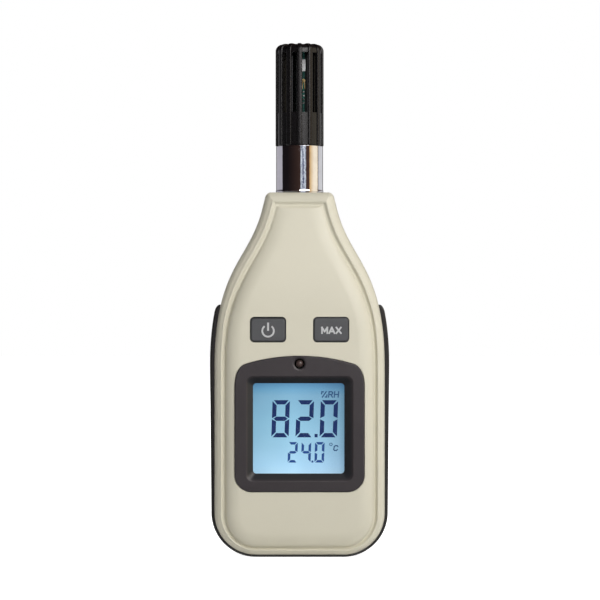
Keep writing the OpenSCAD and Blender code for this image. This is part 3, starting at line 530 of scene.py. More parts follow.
# Rear cover: the other half of the case, in the same cream ABS, with a rounded edge all round.
# It holds the battery space with the recess for its door, a scoop for the finger above the door,
# and the four counterbored holes that the case screws go into.
battery_low, battery_high = box_mm("battery")
door_high = box_mm("battery_door")[1]
screws_low, screws_high = box_mm("case_screws")
REAR_ROUND = 5.2
BAY_X = battery_high.x + 0.35
BAY_FRONT_Y = battery_low.y - 0.05
BAY_LOW_Z = 14.2
BAY_TOP_Z = 71.6
BAY_WALL = 1
DOOR_GAP = 0.2
DOOR_Y = 14.6
DOOR_LOW_Z = 8.8
DOOR_TOP_Z = door_high.z
DOOR_MID_Z = (DOOR_LOW_Z + DOOR_TOP_Z) / 2
DOOR_R = 0.6
LEDGE_D = 1.5
LEDGE_W = 1.2
TAB_X = 9
TAB_ROOM_W = 5.5
TAB_ROOM_Y = (DOOR_Y - 2.6, DOOR_Y + 0.5)
TAB_ROOM_Z = (6.75, BAY_LOW_Z - BAY_WALL)
LEAD_HOLE_X = 3.8
LEAD_HOLE_Y = (BAY_FRONT_Y - 3, BAY_FRONT_Y + 3.8)
LEAD_HOLE_Z = (BAY_TOP_Z - 1, BAY_TOP_Z + 4)
SCREW_HEAD_R = 2.4
SCREW_X = screws_high.x - SCREW_HEAD_R
SCREW_TOP_X = 12.5
SCREW_LOW_Z = screws_low.z + SCREW_HEAD_R
SCREW_TOP_Z = screws_high.z - SCREW_HEAD_R
SCREW_SEAT_Y = 5
SCREW_SHANK_ROOM_R = 1.5
SCREW_PLACES = [(side * x, z) for side in (-1, 1)
                for x, z in ((SCREW_X, SCREW_LOW_Z), (SCREW_TOP_X, SCREW_TOP_Z))]
SCREW_HOLE = [(BACK_Y + 1, 3.0), (BACK_Y - 0.05, 3.0), (BACK_Y - 0.15, 2.8), (BACK_Y - 0.35, 2.7),
              (SCREW_SEAT_Y, 2.7)]
SCREW_POST_WALL = 1.2
SCOOP_R = 8
SCOOP_W = 12
SCOOP_Y = BACK_Y + 6.4
SCOOP_Z = DOOR_TOP_Z + 3

rear_profile = [(SEAM, 0), (0, 2 * SEAM), (DRAFT * 0.5, SIDE_Y / 2)]
rear_profile += [(DRAFT + REAR_ROUND * (1 - math.cos(a)), SIDE_Y + (BACK_Y - SIDE_Y) * math.sin(a))
                 for a in arc((0, 90), 14)]
rear_hollow = [
    (DRAFT + WALL + REAR_ROUND, BACK_Y - WALL), (DRAFT + WALL + 0.3 * REAR_ROUND, BACK_Y - WALL - 1.6),
    (DRAFT + WALL, SIDE_Y - 0.4), (DRAFT + WALL, 0)
]
rear_cover = loft("cover_rear", [case_ring(1, *row) for row in rear_hollow + rear_profile],
                  ends="across")


def door_outline(grow):
    return round_rect(2 * (door_high.x + grow), DOOR_TOP_Z - DOOR_LOW_Z + 2 * grow, DOOR_R + max(grow, 0),
                      0, DOOR_MID_Z)


scoop_rim = [(SCOOP_Y + y, SCOOP_Z + z) for y, z in circle(SCOOP_R)]
carve(rear_cover, [
    block((-BAY_X, BAY_X), (BAY_FRONT_Y, BACK_Y + 1), (BAY_LOW_Z, BAY_TOP_Z)),
    stack("recess", [(y, door_outline(DOOR_GAP + grow)) for y, grow in (
        (DOOR_Y, 0), (BACK_Y - 0.15, 0), (BACK_Y - 0.04, 0.04), (BACK_Y + 0.02, 0.12), (BACK_Y + 1, 0.12))]),
    loft("scoop", [[(x, y, z) for y, z in scoop_rim] for x in (-SCOOP_W / 2, SCOOP_W / 2)]),
    block((-LEAD_HOLE_X, LEAD_HOLE_X), LEAD_HOLE_Y, LEAD_HOLE_Z),
    *[block((side * TAB_X - TAB_ROOM_W / 2, side * TAB_X + TAB_ROOM_W / 2), TAB_ROOM_Y, TAB_ROOM_Z)
      for side in (-1, 1)],
    *[turned("screw_hole", SCREW_HOLE, x, z) for x, z in SCREW_PLACES],
    *[rod_y(SCREW_SHANK_ROOM_R, (-1, SCREW_SEAT_Y + 1), x, z) for x, z in SCREW_PLACES],
    rod_z(NECK_HOLE_R, NECK_HOLE_Z),
], [
    block((-BAY_X - BAY_WALL, BAY_X + BAY_WALL), (BAY_FRONT_Y - BAY_WALL, BACK_Y - WALL / 4),
          (BAY_LOW_Z - BAY_WALL, BAY_TOP_Z + BAY_WALL)),
    block((-door_high.x - LEDGE_W, door_high.x + LEDGE_W), (DOOR_Y - LEDGE_D, BACK_Y - WALL / 4),
          (BAY_LOW_Z - BAY_WALL, DOOR_TOP_Z + LEDGE_W)),
    *[rod_y(SCREW_HEAD_R + SCREW_POST_WALL, (0.05, BACK_Y - WALL), x, z) for x, z in SCREW_PLACES],
])
soften(rear_cover)
dress(rear_cover, cream_plastic, "meter", "cream_plastic", "rear_cover")

# Grip band: black thermoplastic rubber moulded over both sides and the foot of the case.
# It is a strip with rounded edges that thins out under the foot and at its two upper ends.
grip_high = box_mm("grip_band")[1]
GRIP_TOP = grip_high.z - 0.8
GRIP_T = grip_high.x - CASE_X
SOLE_T = 0.7
GRIP_ROUND = 0.8
GRIP_END = 3
GRIP_END_T = 0.3


def shoulder_share(z):
    """Share of the shoulder curve that lies below the height z."""
    low, high = 0.0, 1.0
    for _ in range(24):
        t = (low + high) / 2
        if shoulder_point(t, 0).y < z:
            low = t
        else:
            high = t
    return low


def grip_thickness(z):
    full = mix(SOLE_T, GRIP_T, min((z - SOLE_T) / CURVE_A.y, 1))
    from_end = min((GRIP_TOP - z) / GRIP_END, 1)
    return max(full * math.sqrt(max(1 - (1 - from_end) ** 2, 0)), GRIP_END_T)


def grip_section(t):
    """Inset and depth round the strip where it is t thick."""
    r = min(GRIP_ROUND, 0.9 * t)
    lower = [(r - t - r * math.sin(a), -SIDE_Y + r - r * math.cos(a)) for a in arc((0, 90), 5)]
    return ([(DRAFT - 0.05, -SIDE_Y)] + lower + [(d, -y) for d, y in reversed(lower)]
            + [(DRAFT - 0.05, SIDE_Y), (-0.05, 0)])


def grip_rings():
    top = shoulder_share(GRIP_TOP)
    spine = lower_half(0, top=top)
    rings = []
    for i, p in enumerate(spine):
        ring = []
        for d, y in grip_section(grip_thickness(p.y)):
            q = lower_half(d, top=top)[i]
            ring.append((q.x, depth_at(y, y, p.y), q.y))
        rings.append(ring)
    return [[(-x, y, z) for x, y, z in ring] for ring in reversed(rings)] + rings


grip_band = loft("grip", grip_rings())
soften(grip_band, 50)
black_rubber = moulded("black_rubber", srgb(28, 26, 26), 0.6, grain=0.22, relief=0.02, mottle=0.1,
                       blotch=6, specular=0.35)
dress(grip_band, black_rubber, "meter", "black_rubber", "grip_band")

# Display frame: a charcoal plate with an arched top, pressed into a pocket of the front cover.
# Its rim slopes down to the window, and a dish in its crown holds the indicator lamp.
VIEW_W = 34.35
VIEW_H = 34
VIEW_X = -0.35
OPENING_W = 34.8
VIEW_Z = (window_low.z + window_high.z) / 2
RIM_W = 2.7
RIM_R = 2.4
VIEW_R = 1.3
EDGE_R = 0.4
SLOPE_END_Y = -14.5
LAMP_R = 1.5
DISH_R = 2.55
LAMP_HOLE_R = 1.9


def rim_cutter():
    """Cuts the sloped rim, with its upper edge rounded over, and the window's opening."""
    front, lip = frame_low.y, 0.5
    slope = math.atan2(RIM_W, SLOPE_END_Y - front)
    turn = 90 - math.degrees(slope)
    tangent = lip * math.tan(math.radians(turn) / 2)
    rows = [(front - 1, RIM_W + tangent)]
    for a in arc((0, turn), 5):
        rows.append((front + lip * (1 - math.cos(a)), RIM_W + tangent - lip * math.sin(a)))
    rows += [(SLOPE_END_Y, 0), (frame_high.y + 1, 0)]
    outlines = []
    for y, grow in rows:
        share = min(grow / RIM_W, 1)
        w = mix(VIEW_W, OPENING_W, share) + 2 * grow
        outlines.append((y, round_rect(w, VIEW_H + 2 * grow, mix(VIEW_R, RIM_R, share),
                                       mix(VIEW_X, 0, share), VIEW_Z)))
    return stack("rim", outlines)


def dish_cutter():
    """A shallow dish round the lamp and the hole that its dome stands in."""
    front = frame_low.y
    rows = [(front - 1, DISH_R + 0.2), (front, DISH_R + 0.15), (front + 0.06, DISH_R)]
    rows += [(front + 0.06 + 0.4 * (1 - math.cos(a)), DISH_R - (DISH_R - LAMP_HOLE_R) * math.sin(a))
             for a in arc((15, 90), 5)]
    return turned("dish", rows + [(frame_high.y + 1, LAMP_HOLE_R)], 0, LAMP_Z)


display_frame = stack("bezel", [(FRAME_BACK_Y, frame_outline(0))]
                      + rounded(frame_outline, frame_low.y, EDGE_R, -1))
skirt = block((window_low.x, window_high.x), (FRAME_BACK_Y - 0.5, frame_high.y),
              (window_low.z, window_high.z))
carve(display_frame, [rim_cutter(), dish_cutter()], [skirt])
soften(display_frame, 34)
charcoal_plastic = moulded("charcoal_plastic", srgb(56, 51, 54), 0.4, grain=0.25, relief=0.01,
                           mottle=0.05, blotch=12, specular=0.4)


def painted_shade_along(material, axis, start, end, colour):
    """Paints shade into a material's colour, which turns to another one along an axis, from start to end in
    millimetres.
    """
    tree = material.node_tree
    shader = tree.nodes["Principled BSDF"]
    share = along(tree, add_node(tree, "ShaderNodeTexCoord").outputs["Object"], axis, start, end)
    present = shader.inputs["Base Color"].links[0].from_socket
    set_node(tree, shader, Base_Color=mixed(tree, share, present, colour))


# Painted shade: behind its front face the frame turns dark, down the rim slope towards the window.
painted_shade_along(charcoal_plastic, "Y", frame_low.y + 0.2, frame_low.y + 0.7, srgb(38, 40, 44))
dress(display_frame, charcoal_plastic, "meter", "charcoal_plastic", "display_frame")

# Display window: a clear acrylic plate with a faint haze and broken edges.
# It is cemented behind the frame, over the display glass.
WINDOW_EDGE = 0.1


def pane(name, rows):
    """A plate over the display, through its depths, each with a width, a height and a corner."""
    return stack(name, [(y, round_rect(w, h, r, 0, VIEW_Z)) for y, w, h, r in rows])


window_w = window_high.x * 2
window_h = window_high.z - window_low.z
window = pane("window_plate", [
    (window_low.y, window_w - 2 * WINDOW_EDGE, window_h - 2 * WINDOW_EDGE, 0.4),
    (window_low.y + WINDOW_EDGE, window_w, window_h, 0.5),
    (window_high.y - WINDOW_EDGE, window_w, window_h, 0.5),
    (window_high.y, window_w - 2 * WINDOW_EDGE, window_h - 2 * WINDOW_EDGE, 0.4),
])
soften(window)
clear_acrylic = bare_material("clear_acrylic", (6, 0.0, 0.03), Base_Color=(0.97, 0.985, 0.99, 1),
                              Transmission_Weight=1, IOR=1.45)[0]
dress(window, clear_acrylic, "meter", "clear_window", "display_window")

# Display: two sheets of glass with the liquid crystal between them, lit blue from behind.
# The figures stand in the front sheet as dark blue bars: two rows of three digits and their units.
glass_low, glass_high = box_mm("display_glass")
GLASS_DROP = 0.12
GLASS_STEP = 4
GLASS_STEP_Y = 0.9
GLASS_R = 0.3
BAR_DEPTH = 0.05
STROKE_STEP = 0.004
SLANT = math.tan(math.radians(2))
LARGE_DIGIT = {"x": -10.68, "z": 45.34, "w": 6.56, "h": 14.02, "bar": 1.62, "pitch": 9.09}
SMALL_DIGIT = {"x": -4.54, "z": 35.84, "w": 3.62, "h": 7.74, "bar": 0.97, "pitch": 5.05}
LIT = {"0": "abcdef", "2": "abged", "4": "fgbc", "8": "abcdefg"}
DISPLAY_GLOW = 1.14
INK_GLOW = 1.06
BLACK = (0, 0, 0, 1)
LETTERS = {
    "M": (0.95, [[(0, 0), (0, 1), (0.47, 0.3), (0.95, 1), (0.95, 0)]]),
    "A": (0.95, [[(0, 0), (0.475, 1), (0.95, 0)], [(0.17, 0.3), (0.78, 0.3)]]),
    "X": (0.8, [[(0, 0), (0.8, 1)], [(0, 1), (0.8, 0)]]),
    "R": (0.7, [[(0, 0), (0, 1), (0.45, 1), (0.66, 0.88), (0.66, 0.6), (0.45, 0.48), (0, 0.48)],
                [(0.35, 0.48), (0.7, 0)]]),
    "H": (0.72, [[(0, 0), (0, 1)], [(0.72, 0), (0.72, 1)], [(0, 0.5), (0.72, 0.5)]]),
    "C": (0.8, [[(0.78, 0.82), (0.6, 1), (0.2, 1), (0, 0.8), (0, 0.2), (0.2, 0), (0.6, 0), (0.78, 0.18)]]),
    "%": (1.0, [[(0.2, 0), (0.8, 1)], [(0, 0.62), (0.02, 1)], [(0, 1), (0.26, 0.98)],
                [(0.74, 0.02), (1, 0)], [(0.98, 0), (1, 0.38)]]),
}

glass_w = glass_high.x * 2
glass_h = glass_high.z - glass_low.z
display = pane("display_pane", [
    (glass_low.y + GLASS_DROP, glass_w, glass_h - GLASS_STEP, GLASS_R),
    (glass_low.y + GLASS_STEP_Y, glass_w, glass_h - GLASS_STEP, GLASS_R),
    (glass_low.y + GLASS_STEP_Y + 0.01, glass_w, glass_h, GLASS_R),
    (glass_high.y, glass_w, glass_h, GLASS_R),
])
soften(display)


def glowing(name, blotch, strength):
    """A black surface, a little glossy, that is seen by its own glow."""
    return bare_material(name, (blotch, 0.3, 0.4), Base_Color=BLACK, Specular_IOR_Level=0.05,
                         Emission_Strength=strength)


def lit_display():
    """Blue backlight, brightest in the middle of the lower edge and weaker towards the others."""
    material, tree, shader, place = glowing("lit_display", 2, DISPLAY_GLOW)
    light = ramp(tree, along(tree, place, "Z", VIEW_Z - VIEW_H / 2, VIEW_Z + VIEW_H / 2), (
        (0.0, srgb(186, 226, 250)), (0.08, srgb(178, 221, 249)), (0.3, srgb(160, 206, 232)),
        (0.55, srgb(148, 197, 223)), (0.86, srgb(134, 181, 209)), (0.93, srgb(114, 168, 202)),
        (1.0, srgb(92, 142, 180))))
    sides = ramp(tree, along(tree, place, "X", VIEW_X - VIEW_W / 2, VIEW_X + VIEW_W / 2), (
        (0.0, (0.74, 0.78, 0.8, 1)), (0.2, (0.88, 0.9, 0.9, 1)), (0.45, (1, 1, 1, 1)),
        (0.75, (0.86, 0.86, 0.88, 1)), (0.94, (0.7, 0.7, 0.72, 1)), (1.0, (0.5, 0.52, 0.54, 1))))
    cloud = blend_by(tree, noise(tree, place, 14, 1), (0.94, 0.95, 0.96, 1), (1.05, 1.04, 1.03, 1))
    for factor in (sides, cloud):
        light = mixed(tree, 1, light, factor, "MULTIPLY")
    set_node(tree, shader, Emission_Color=light)
    return material


dress(display, lit_display(), "meter", "display_blue", "display_glass")


def digit_bars(digit, x, z, w, h, bar, **_):
    """Outlines of the lit bars of a seven-bar digit, mitred at its corners and leaning right."""
    m = h / 2
    side = [(0, h - 0.22 * bar), (bar, h - 1.22 * bar), (bar, m + 0.62 * bar), (0, m + 0.12 * bar)]
    top = [(0.32 * bar, h), (w - 0.32 * bar, h), (w - 1.1 * bar, h - bar), (1.1 * bar, h - bar)]
    outlines = {
        "a": top, "d": [(u, h - v) for u, v in top],
        "f": side, "b": [(w - u, v) for u, v in side],
        "e": [(u, h - v) for u, v in side], "c": [(w - u, h - v) for u, v in side],
        "g": [(0.36 * bar, m), (1.02 * bar, m + bar / 2), (w - 1.02 * bar, m + bar / 2), (w - 0.36 * bar, m),
              (w - 1.02 * bar, m - bar / 2), (1.02 * bar, m - bar / 2)],
    }
    return [[(x + u + v * SLANT, z + v) for u, v in outlines[name]] for name in LIT[digit]]


def stroke(points, width):
    """Outlines of a pen line of the given width: one four-sided bar for each stretch."""
    bars = []
    for a, b in zip(points, points[1:]):
        a, b = Vector(a), Vector(b)
        ahead = (b - a).normalized() * width / 2
        across = Vector((-ahead.y, ahead.x))
        bars.append([tuple(p) for p in (a - ahead + across, b + ahead + across, b + ahead - across,
                                        a - ahead - across)])
    return bars


def lettering(text, x, z, height, width, pen, lean=0.0):
    """Outlines of a word whose letters together take up the given width, before they lean right."""
    gap = 0.34
    total = sum(LETTERS[c][0] for c in text) + gap * (len(text) - 1)
    unit = (width - pen) / total
    outlines, start = [], x + pen / 2
    for c in text:
        letter_w, lines = LETTERS[c]
        for line in lines:
            outlines += stroke([(start + u * unit + lean * v * height, z + pen / 2 + v * (height - pen))
                                for u, v in line], pen)
        start += (letter_w + gap) * unit
    return outlines


def ring_bars(x, z, r, width, turns, steps):
    """Outlines of the stretches of a bent line, which meet edge to edge."""
    inner = arc_line(r - width / 2, turns, steps, x, z)
    outer = arc_line(r + width / 2, turns, steps, x, z)
    return [[inner[i], outer[i], outer[i + 1], inner[i + 1]] for i in range(steps)]


def raised(name, outlines, y_front, y_back):
    """Flat outlines raised into thin closed solids, as one piece. Where strokes cross, their fronts
    lie at slightly different depths."""
    shape = bmesh.new()
    for count, outline in enumerate(outlines):
        front_y = y_front + STROKE_STEP * (count % 3)
        front = [shape.verts.new(Vector((x, front_y, z)) * MM) for x, z in outline]
        back = [shape.verts.new(Vector((x, y_back, z)) * MM) for x, z in outline]
        shape.faces.new(front)
        shape.faces.new(back[::-1])
        for i in range(len(front)):
            j = (i + 1) % len(front)
            shape.faces.new((front[i], back[i], back[j], front[j]))
    return add_piece(name, shape)


def number_bars(text, style):
    """Outlines of a number with one decimal, whose point stands before the last digit."""
    outlines = []
    for i, digit in enumerate(text.replace(".", "")):
        outlines += digit_bars(digit, **{**style, "x": style["x"] + i * style["pitch"]})
    dot = style["bar"] * 0.72
    right = style["x"] + 2 * style["pitch"] - (style["pitch"] - style["w"]) * 0.5 - dot * 0.52
    outlines.append([(right, style["z"]), (right + dot, style["z"]), (right + dot, style["z"] + dot * 1.1),
                     (right, style["z"] + dot * 1.1)])
    return outlines


def display_ink(name, colour):
    """Dark bars of the liquid crystal, which let a trace of the backlight through."""
    material, tree, shader, place = glowing(name, 1, INK_GLOW)
    set_node(tree, shader, Emission_Color=blend_by(tree, noise(tree, place, 3), scaled(colour, 0.9),
                                                   scaled(colour, 1.15)))
    return material


BAR_Y = glass_low.y + GLASS_DROP
humidity_unit = lettering("%RH", x=7.95, z=60.3, height=2.45, width=6.8, pen=0.46, lean=0.08)
warmth_unit = lettering("C", x=12.6, z=40.2, height=2.2, width=1.8, pen=0.42, lean=0.14)
degree_ring = ring_bars(x=11.8, z=42.7, r=0.5, width=0.27, turns=(0, 360), steps=20)
for name, bars, ink, colour in (
    ("large_figures", number_bars("82.0", LARGE_DIGIT), "large_figures_ink", srgb(36, 52, 98)),
    ("small_figures", number_bars("24.0", SMALL_DIGIT), "small_figures_ink", srgb(50, 80, 138)),
    ("display_units", humidity_unit + warmth_unit + degree_ring, "unit_blue", srgb(56, 86, 124)),
):
    dress(raised(name, bars, BAR_Y - BAR_DEPTH, BAR_Y + 0.01), display_ink(ink, colour), "meter",
          "display_blue")

# Display holder, backlight and contact strips: a white nylon frame clips the glass to the board,
# a clear light guide lies behind the glass, and two rubber strips carry the contacts.


def paint(node, material):
    """Gives a construction node its finish."""
    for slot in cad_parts[node].material_slots:
        slot.material = material


white_nylon = moulded("white_nylon", srgb(232, 231, 224), 0.45, mottle=0.03)
paint("display_holder", white_nylon)
paint("backlight_panel", moulded("light_guide", srgb(205, 232, 244), 0.2, grain=0.8, mottle=0.02))
paint("contact_strips", moulded("strip_rubber", srgb(212, 150, 160), 0.7, grain=0.15, mottle=0.12, blotch=1))

# Keys: two grey silicone caps on one mat, in openings of the front cover just above the frame.
# Each has a bevelled edge and a pale printed sign, and a carbon pill on its foot closes a contact.
CAP_BEVEL = 0.5
TOP_GAP = 0.3
FLANGE = 0.9
FLANGE_Y = -INNER_Y - 0.05
key_foot_y = box_mm("power_key_pill")[0].y
SIGN_RISE = 0.03


def key_cap(name, side):
    """A key from its front, over the bevel and down to the flange behind the cover. The left one
    is a little short at its upper edge."""
    short = TOP_GAP if side < 0 else 0
    depths = [(KEY_FRONT_Y, -CAP_BEVEL - 0.12), (KEY_FRONT_Y + 0.02, -CAP_BEVEL),
              (KEY_FRONT_Y + 0.1, -CAP_BEVEL + 0.14), (KEY_FRONT_Y + 0.32, -0.06),
              (KEY_FRONT_Y + 0.45, 0), (FLANGE_Y, 0), (FLANGE_Y, FLANGE), (key_foot_y, FLANGE)]
    return stack(name, [(y, [(x, z - short * max((z - KEY_Z) / KEY_H * 2, 0) * (grow < FLANGE))
                             for x, z in key_outline(side, grow)]) for y, grow in depths])


key_rubber = moulded("key_rubber", srgb(78, 79, 82), 0.44, grain=0.25, relief=0.012, mottle=0.04,
                     blotch=5, specular=0.4)
sign_ink = moulded("sign_ink", srgb(194, 195, 196), 0.5, grain=0.2, relief=0.004, mottle=0.05, blotch=2)
POWER_BAR_X = -KEY_X + 0.02
POWER_BAR_Z = (85.9, 88.25)
power_sign = ring_bars(x=-KEY_X, z=85.5, r=2.16, width=0.66, turns=(126, 412), steps=40)
power_sign += stroke([(POWER_BAR_X, z) for z in POWER_BAR_Z], width=0.72)
max_sign = lettering("MAX", x=8.1, z=84.35, height=2.72, width=7.7, pen=0.62)
for name, side, sign in (("power_key", -1, power_sign), ("max_key", 1, max_sign)):
    cap = key_cap(name + "_cap", side)
    soften(cap, 40)
    dress(cap, key_rubber, name, "key_rubber", name)
    mark = raised(name + "_sign", sign, KEY_FRONT_Y - SIGN_RISE, KEY_FRONT_Y + 0.05)
    dress(mark, sign_ink, name, "key_rubber")
paint("keypad_mat", key_rubber)
carbon = moulded("carbon", srgb(28, 28, 29), 0.7, grain=0.2, mottle=0.15)
paint("power_key_pill", carbon)
paint("max_key_pill", carbon)

# Indicator lamp: a smoked red light-emitting diode, three millimetres across, with its collar
# behind the frame and two tinned legs down to the board.
DOME_Y = -14.5
COLLAR_Y = -11.2
LAMP_COLLAR_R = LAMP_R + 0.35
LEG_X = 1.27
LEG_R = 0.25

lamp_rows = [(DOME_Y - LAMP_R * math.sin(a), LAMP_R * math.cos(a)) for a in arc((86, 0), 12)]
lamp_rows += [(COLLAR_Y - 0.05, LAMP_R), (COLLAR_Y, LAMP_COLLAR_R), (COLLAR_Y + 0.95, LAMP_COLLAR_R),
              (COLLAR_Y + 1, LAMP_COLLAR_R - 0.05)]
lamp = turned("lamp_dome", lamp_rows, 0, LAMP_Z, 40)
soften(lamp, 50)
carve(lamp, added=[turned("leg", [(COLLAR_Y + 0.9, LEG_R), (lamp_high.y, LEG_R)], x, LAMP_Z, 12)
                   for x in (-LEG_X, LEG_X)])
smoked_lens = moulded("smoked_lens", srgb(80, 66, 63), 0.2, grain=1.5, relief=0.004, mottle=0.25,
                      blotch=1.4, specular=0.4, coat=0.2)
dress(lamp, smoked_lens, "meter", "smoked_lens", "indicator_lamp")

# Main board: green glass-epoxy with the controller, its capacitors, crystal and regulator on the
# back, where the solder mask shows its copper tracks.


def board_finish(name, mask, track, width, **values):
    """Solder mask over copper tracks, which run along the board and show as a lighter green."""
    material, tree, shader, place = bare_material(name, (2, 0.25, 0.38), **values)
    lines = add_node(tree, "ShaderNodeTexWave", Vector=place, Scale=1 / (width * 20 * MM), Distortion=3,
                     Detail=1).outputs["Fac"]
    set_node(tree, shader, Base_Color=blend_by(tree, lines, mask, track, 0.55, 0.62),
             Normal=relief_of(tree, span(tree, lines, 0.55, 0.62), 0.03))
    return material


paint("main_board", board_finish("board_green", srgb(22, 92, 52), srgb(52, 130, 76), 1.6))
black_plastic = moulded("black_plastic", srgb(34, 34, 35), 0.5, grain=0.2, mottle=0.1)
tinned = moulded("tinned_metal", srgb(186, 187, 190), 0.3, grain=0.4, mottle=0.08, metallic=1.0)
paint("microcontroller", black_plastic)
paint("voltage_regulator", black_plastic)
paint("board_capacitors", moulded("capacitor_sleeve", srgb(48, 60, 104), 0.4, mottle=0.05))
paint("quartz_crystal", tinned)

# Battery: a nine-volt block in a painted steel jacket, with a snap and two leads to the board.
# It lies upright in its space behind the door.
BAND_H = 15
BAND_EDGE = 0.2


def jacket():
    """Bare dark jacket with a copper-coloured band at its upper end."""
    material, tree, shader, place = bare_material("battery_jacket", (3, 0.26, 0.36), Metallic=0.6)
    band_z = battery_high.z - BAND_H
    share = along(tree, place, "Z", band_z - BAND_EDGE, band_z + BAND_EDGE)
    set_node(tree, shader, Base_Color=blend_by(tree, share, srgb(40, 42, 46), srgb(176, 120, 70), 0.4, 0.6))
    return material


paint("battery", jacket())
paint("battery_snap", black_plastic)
paint("red_lead", moulded("red_wire", srgb(186, 34, 30), 0.4, grain=0.5, mottle=0.06))
paint("black_lead", moulded("black_wire", srgb(30, 30, 31), 0.4, grain=0.5, mottle=0.06))

# Battery door: cream ABS like the case, with five grip lines below the finger scoop.
# Two tabs at its foot hook into the rear cover, and it swings out about that edge.
DOOR_EDGE_R = 0.35
LINE_W = 0.9
LINE_D = 0.4
LINE_PITCH = 1.8
LINE_COUNT = 5
LINE_X = 7
TAB_W = 5
TAB_PARTS = (((13, 14.7), (DOOR_LOW_Z, 10)), ((13, 13.95), (7, 10)))

door = stack("door_plate", [(DOOR_Y + 0.05, door_outline(0))]
             + rounded(door_outline, BACK_Y, DOOR_EDGE_R, 1))


def shape_tree(name, sockets):
    """An empty shape tree with the given named inputs, and the node that they come from."""
    tree = bpy.data.node_groups.new(name, "GeometryNodeTree")
    tree.interface.new_socket("Geometry", in_out="INPUT", socket_type="NodeSocketGeometry")
    for label, kind in sockets.items():
        tree.interface.new_socket(label, in_out="INPUT", socket_type=kind)
    tree.interface.new_socket("Geometry", in_out="OUTPUT", socket_type="NodeSocketGeometry")
    return tree, tree.nodes.new("NodeGroupInput")


def end_tree(tree, source, shape, weld=None):
    """Ends a shape tree: copies made real, welded where they meet, and given their material."""
    real = add_node(tree, "GeometryNodeRealizeInstances", Geometry=shape).outputs["Geometry"]
    if weld:
        real = add_node(tree, "GeometryNodeMergeByDistance", Geometry=real, Distance=weld).outputs["Geometry"]
    final = add_node(tree, "GeometryNodeSetMaterial", Geometry=real, Material=source.outputs["Material"])
    tree.links.new(final.outputs["Geometry"], tree.nodes.new("NodeGroupOutput").inputs["Geometry"])


def grow_shape(piece, tree, **values):
    """Runs a shape tree on a piece with its named inputs set, and keeps what it makes."""
    step = piece.modifiers.new("shape", "NODES")
    step.node_group = tree
    identifiers = {item.name: item.identifier for item in tree.interface.items_tree
                   if item.in_out == "INPUT"}
    for label, value in values.items():
        step[identifiers[label.replace("_", " ")]] = value
    settle(piece)


def row_tree():
    """Copies of a shape in a straight row."""
    tree, source = shape_tree("row_of_copies", {"Count": "NodeSocketInt", "Pitch": "NodeSocketVector",
                                                "Material": "NodeSocketMaterial"})
    line = add_node(tree, "GeometryNodeMeshLine", Count=source.outputs["Count"],
                    Offset=source.outputs["Pitch"])
    copies = add_node(tree, "GeometryNodeInstanceOnPoints", Points=line.outputs["Mesh"],
                      Instance=source.outputs["Geometry"])
    end_tree(tree, source, copies.outputs["Instances"])
    return tree


LINE_Z = DOOR_TOP_Z - 5 + LINE_W / 2
line_rows = [(BACK_Y - LINE_D, -0.14), (BACK_Y - LINE_D + 0.12, 0), (BACK_Y - 0.08, 0.02),
             (BACK_Y + 0.02, 0.12), (BACK_Y + 1, 0.12)]
grip_lines = stack("grip_lines", [
    (y, round_rect(2 * (LINE_X + grow), LINE_W + 2 * grow, LINE_W / 2 - 0.02 + grow, 0, LINE_Z))
    for y, grow in line_rows])
grow_shape(grip_lines, row_tree(), Count=LINE_COUNT, Pitch=(0, 0, -LINE_PITCH * MM), Material=cream_plastic)
carve(door, [grip_lines],
      [block((side * TAB_X - TAB_W / 2, side * TAB_X + TAB_W / 2), y, z) for side in (-1, 1)
       for y, z in TAB_PARTS])
soften(door)
dress(door, cream_plastic, "battery_door", "cream_plastic", "battery_door")

# Probe tube: brass, turned and chrome plated, pressed into a bush between the two covers.
# A low shoulder stands on the neck, and its upper edge is just broken.
tube_low, tube_high = box_mm("probe_tube")
TUBE_R = 8.95
TUBE_BORE_R = 7.9
TUBE_MID_Z = 147
NECK_TUBE_R = 8.6
RING_R = tube_high.x
RING_Z = CASE_TOP + 0.05
RING_TOP_Z = 139
tube_profile = [
    (NECK_TUBE_R, tube_low.z), (NECK_TUBE_R, RING_Z), (RING_R - 0.1, RING_Z), (RING_R, RING_Z + 0.1),
    (RING_R, RING_TOP_Z - 0.12), (RING_R - 0.05, RING_TOP_Z), (TUBE_R, RING_TOP_Z + 0.02),
    (TUBE_R, TUBE_MID_Z), (TUBE_R, tube_high.z - 0.08), (TUBE_R - 0.03, tube_high.z - 0.02),
    (TUBE_R - 0.08, tube_high.z), (TUBE_BORE_R + 0.1, tube_high.z), (TUBE_BORE_R, tube_high.z - 0.1),
    (TUBE_BORE_R, tube_low.z)
]
tube = loft("chrome_tube", [[(x, y, z) for x, y in circle(r, steps=96)] for r, z in tube_profile],
            ends="joined")
soften(tube, 40)


def chrome_plate():
    """Bright plating over turned brass, slightly uneven, and more so along the tube than round it."""
    material, tree, shader, place = bare_material("chrome_plate", (1.5, 0.03, 0.06), Metallic=1)
    stretched = add_node(tree, "ShaderNodeMapping", Vector=place, Scale=(1, 1, 2.2)).outputs["Vector"]
    set_node(tree, shader,
             Base_Color=blend_by(tree, noise(tree, place, 5), srgb(190, 189, 194), srgb(202, 202, 207)),
             Normal=relief_of(tree, noise(tree, stretched, 3.2, 2), 0.05, 0.5))
    return material


dress(tube, chrome_plate(), "meter", "chrome", "probe_tube")
paint("probe_bush", black_plastic)
paint("sensor_holder", black_plastic)
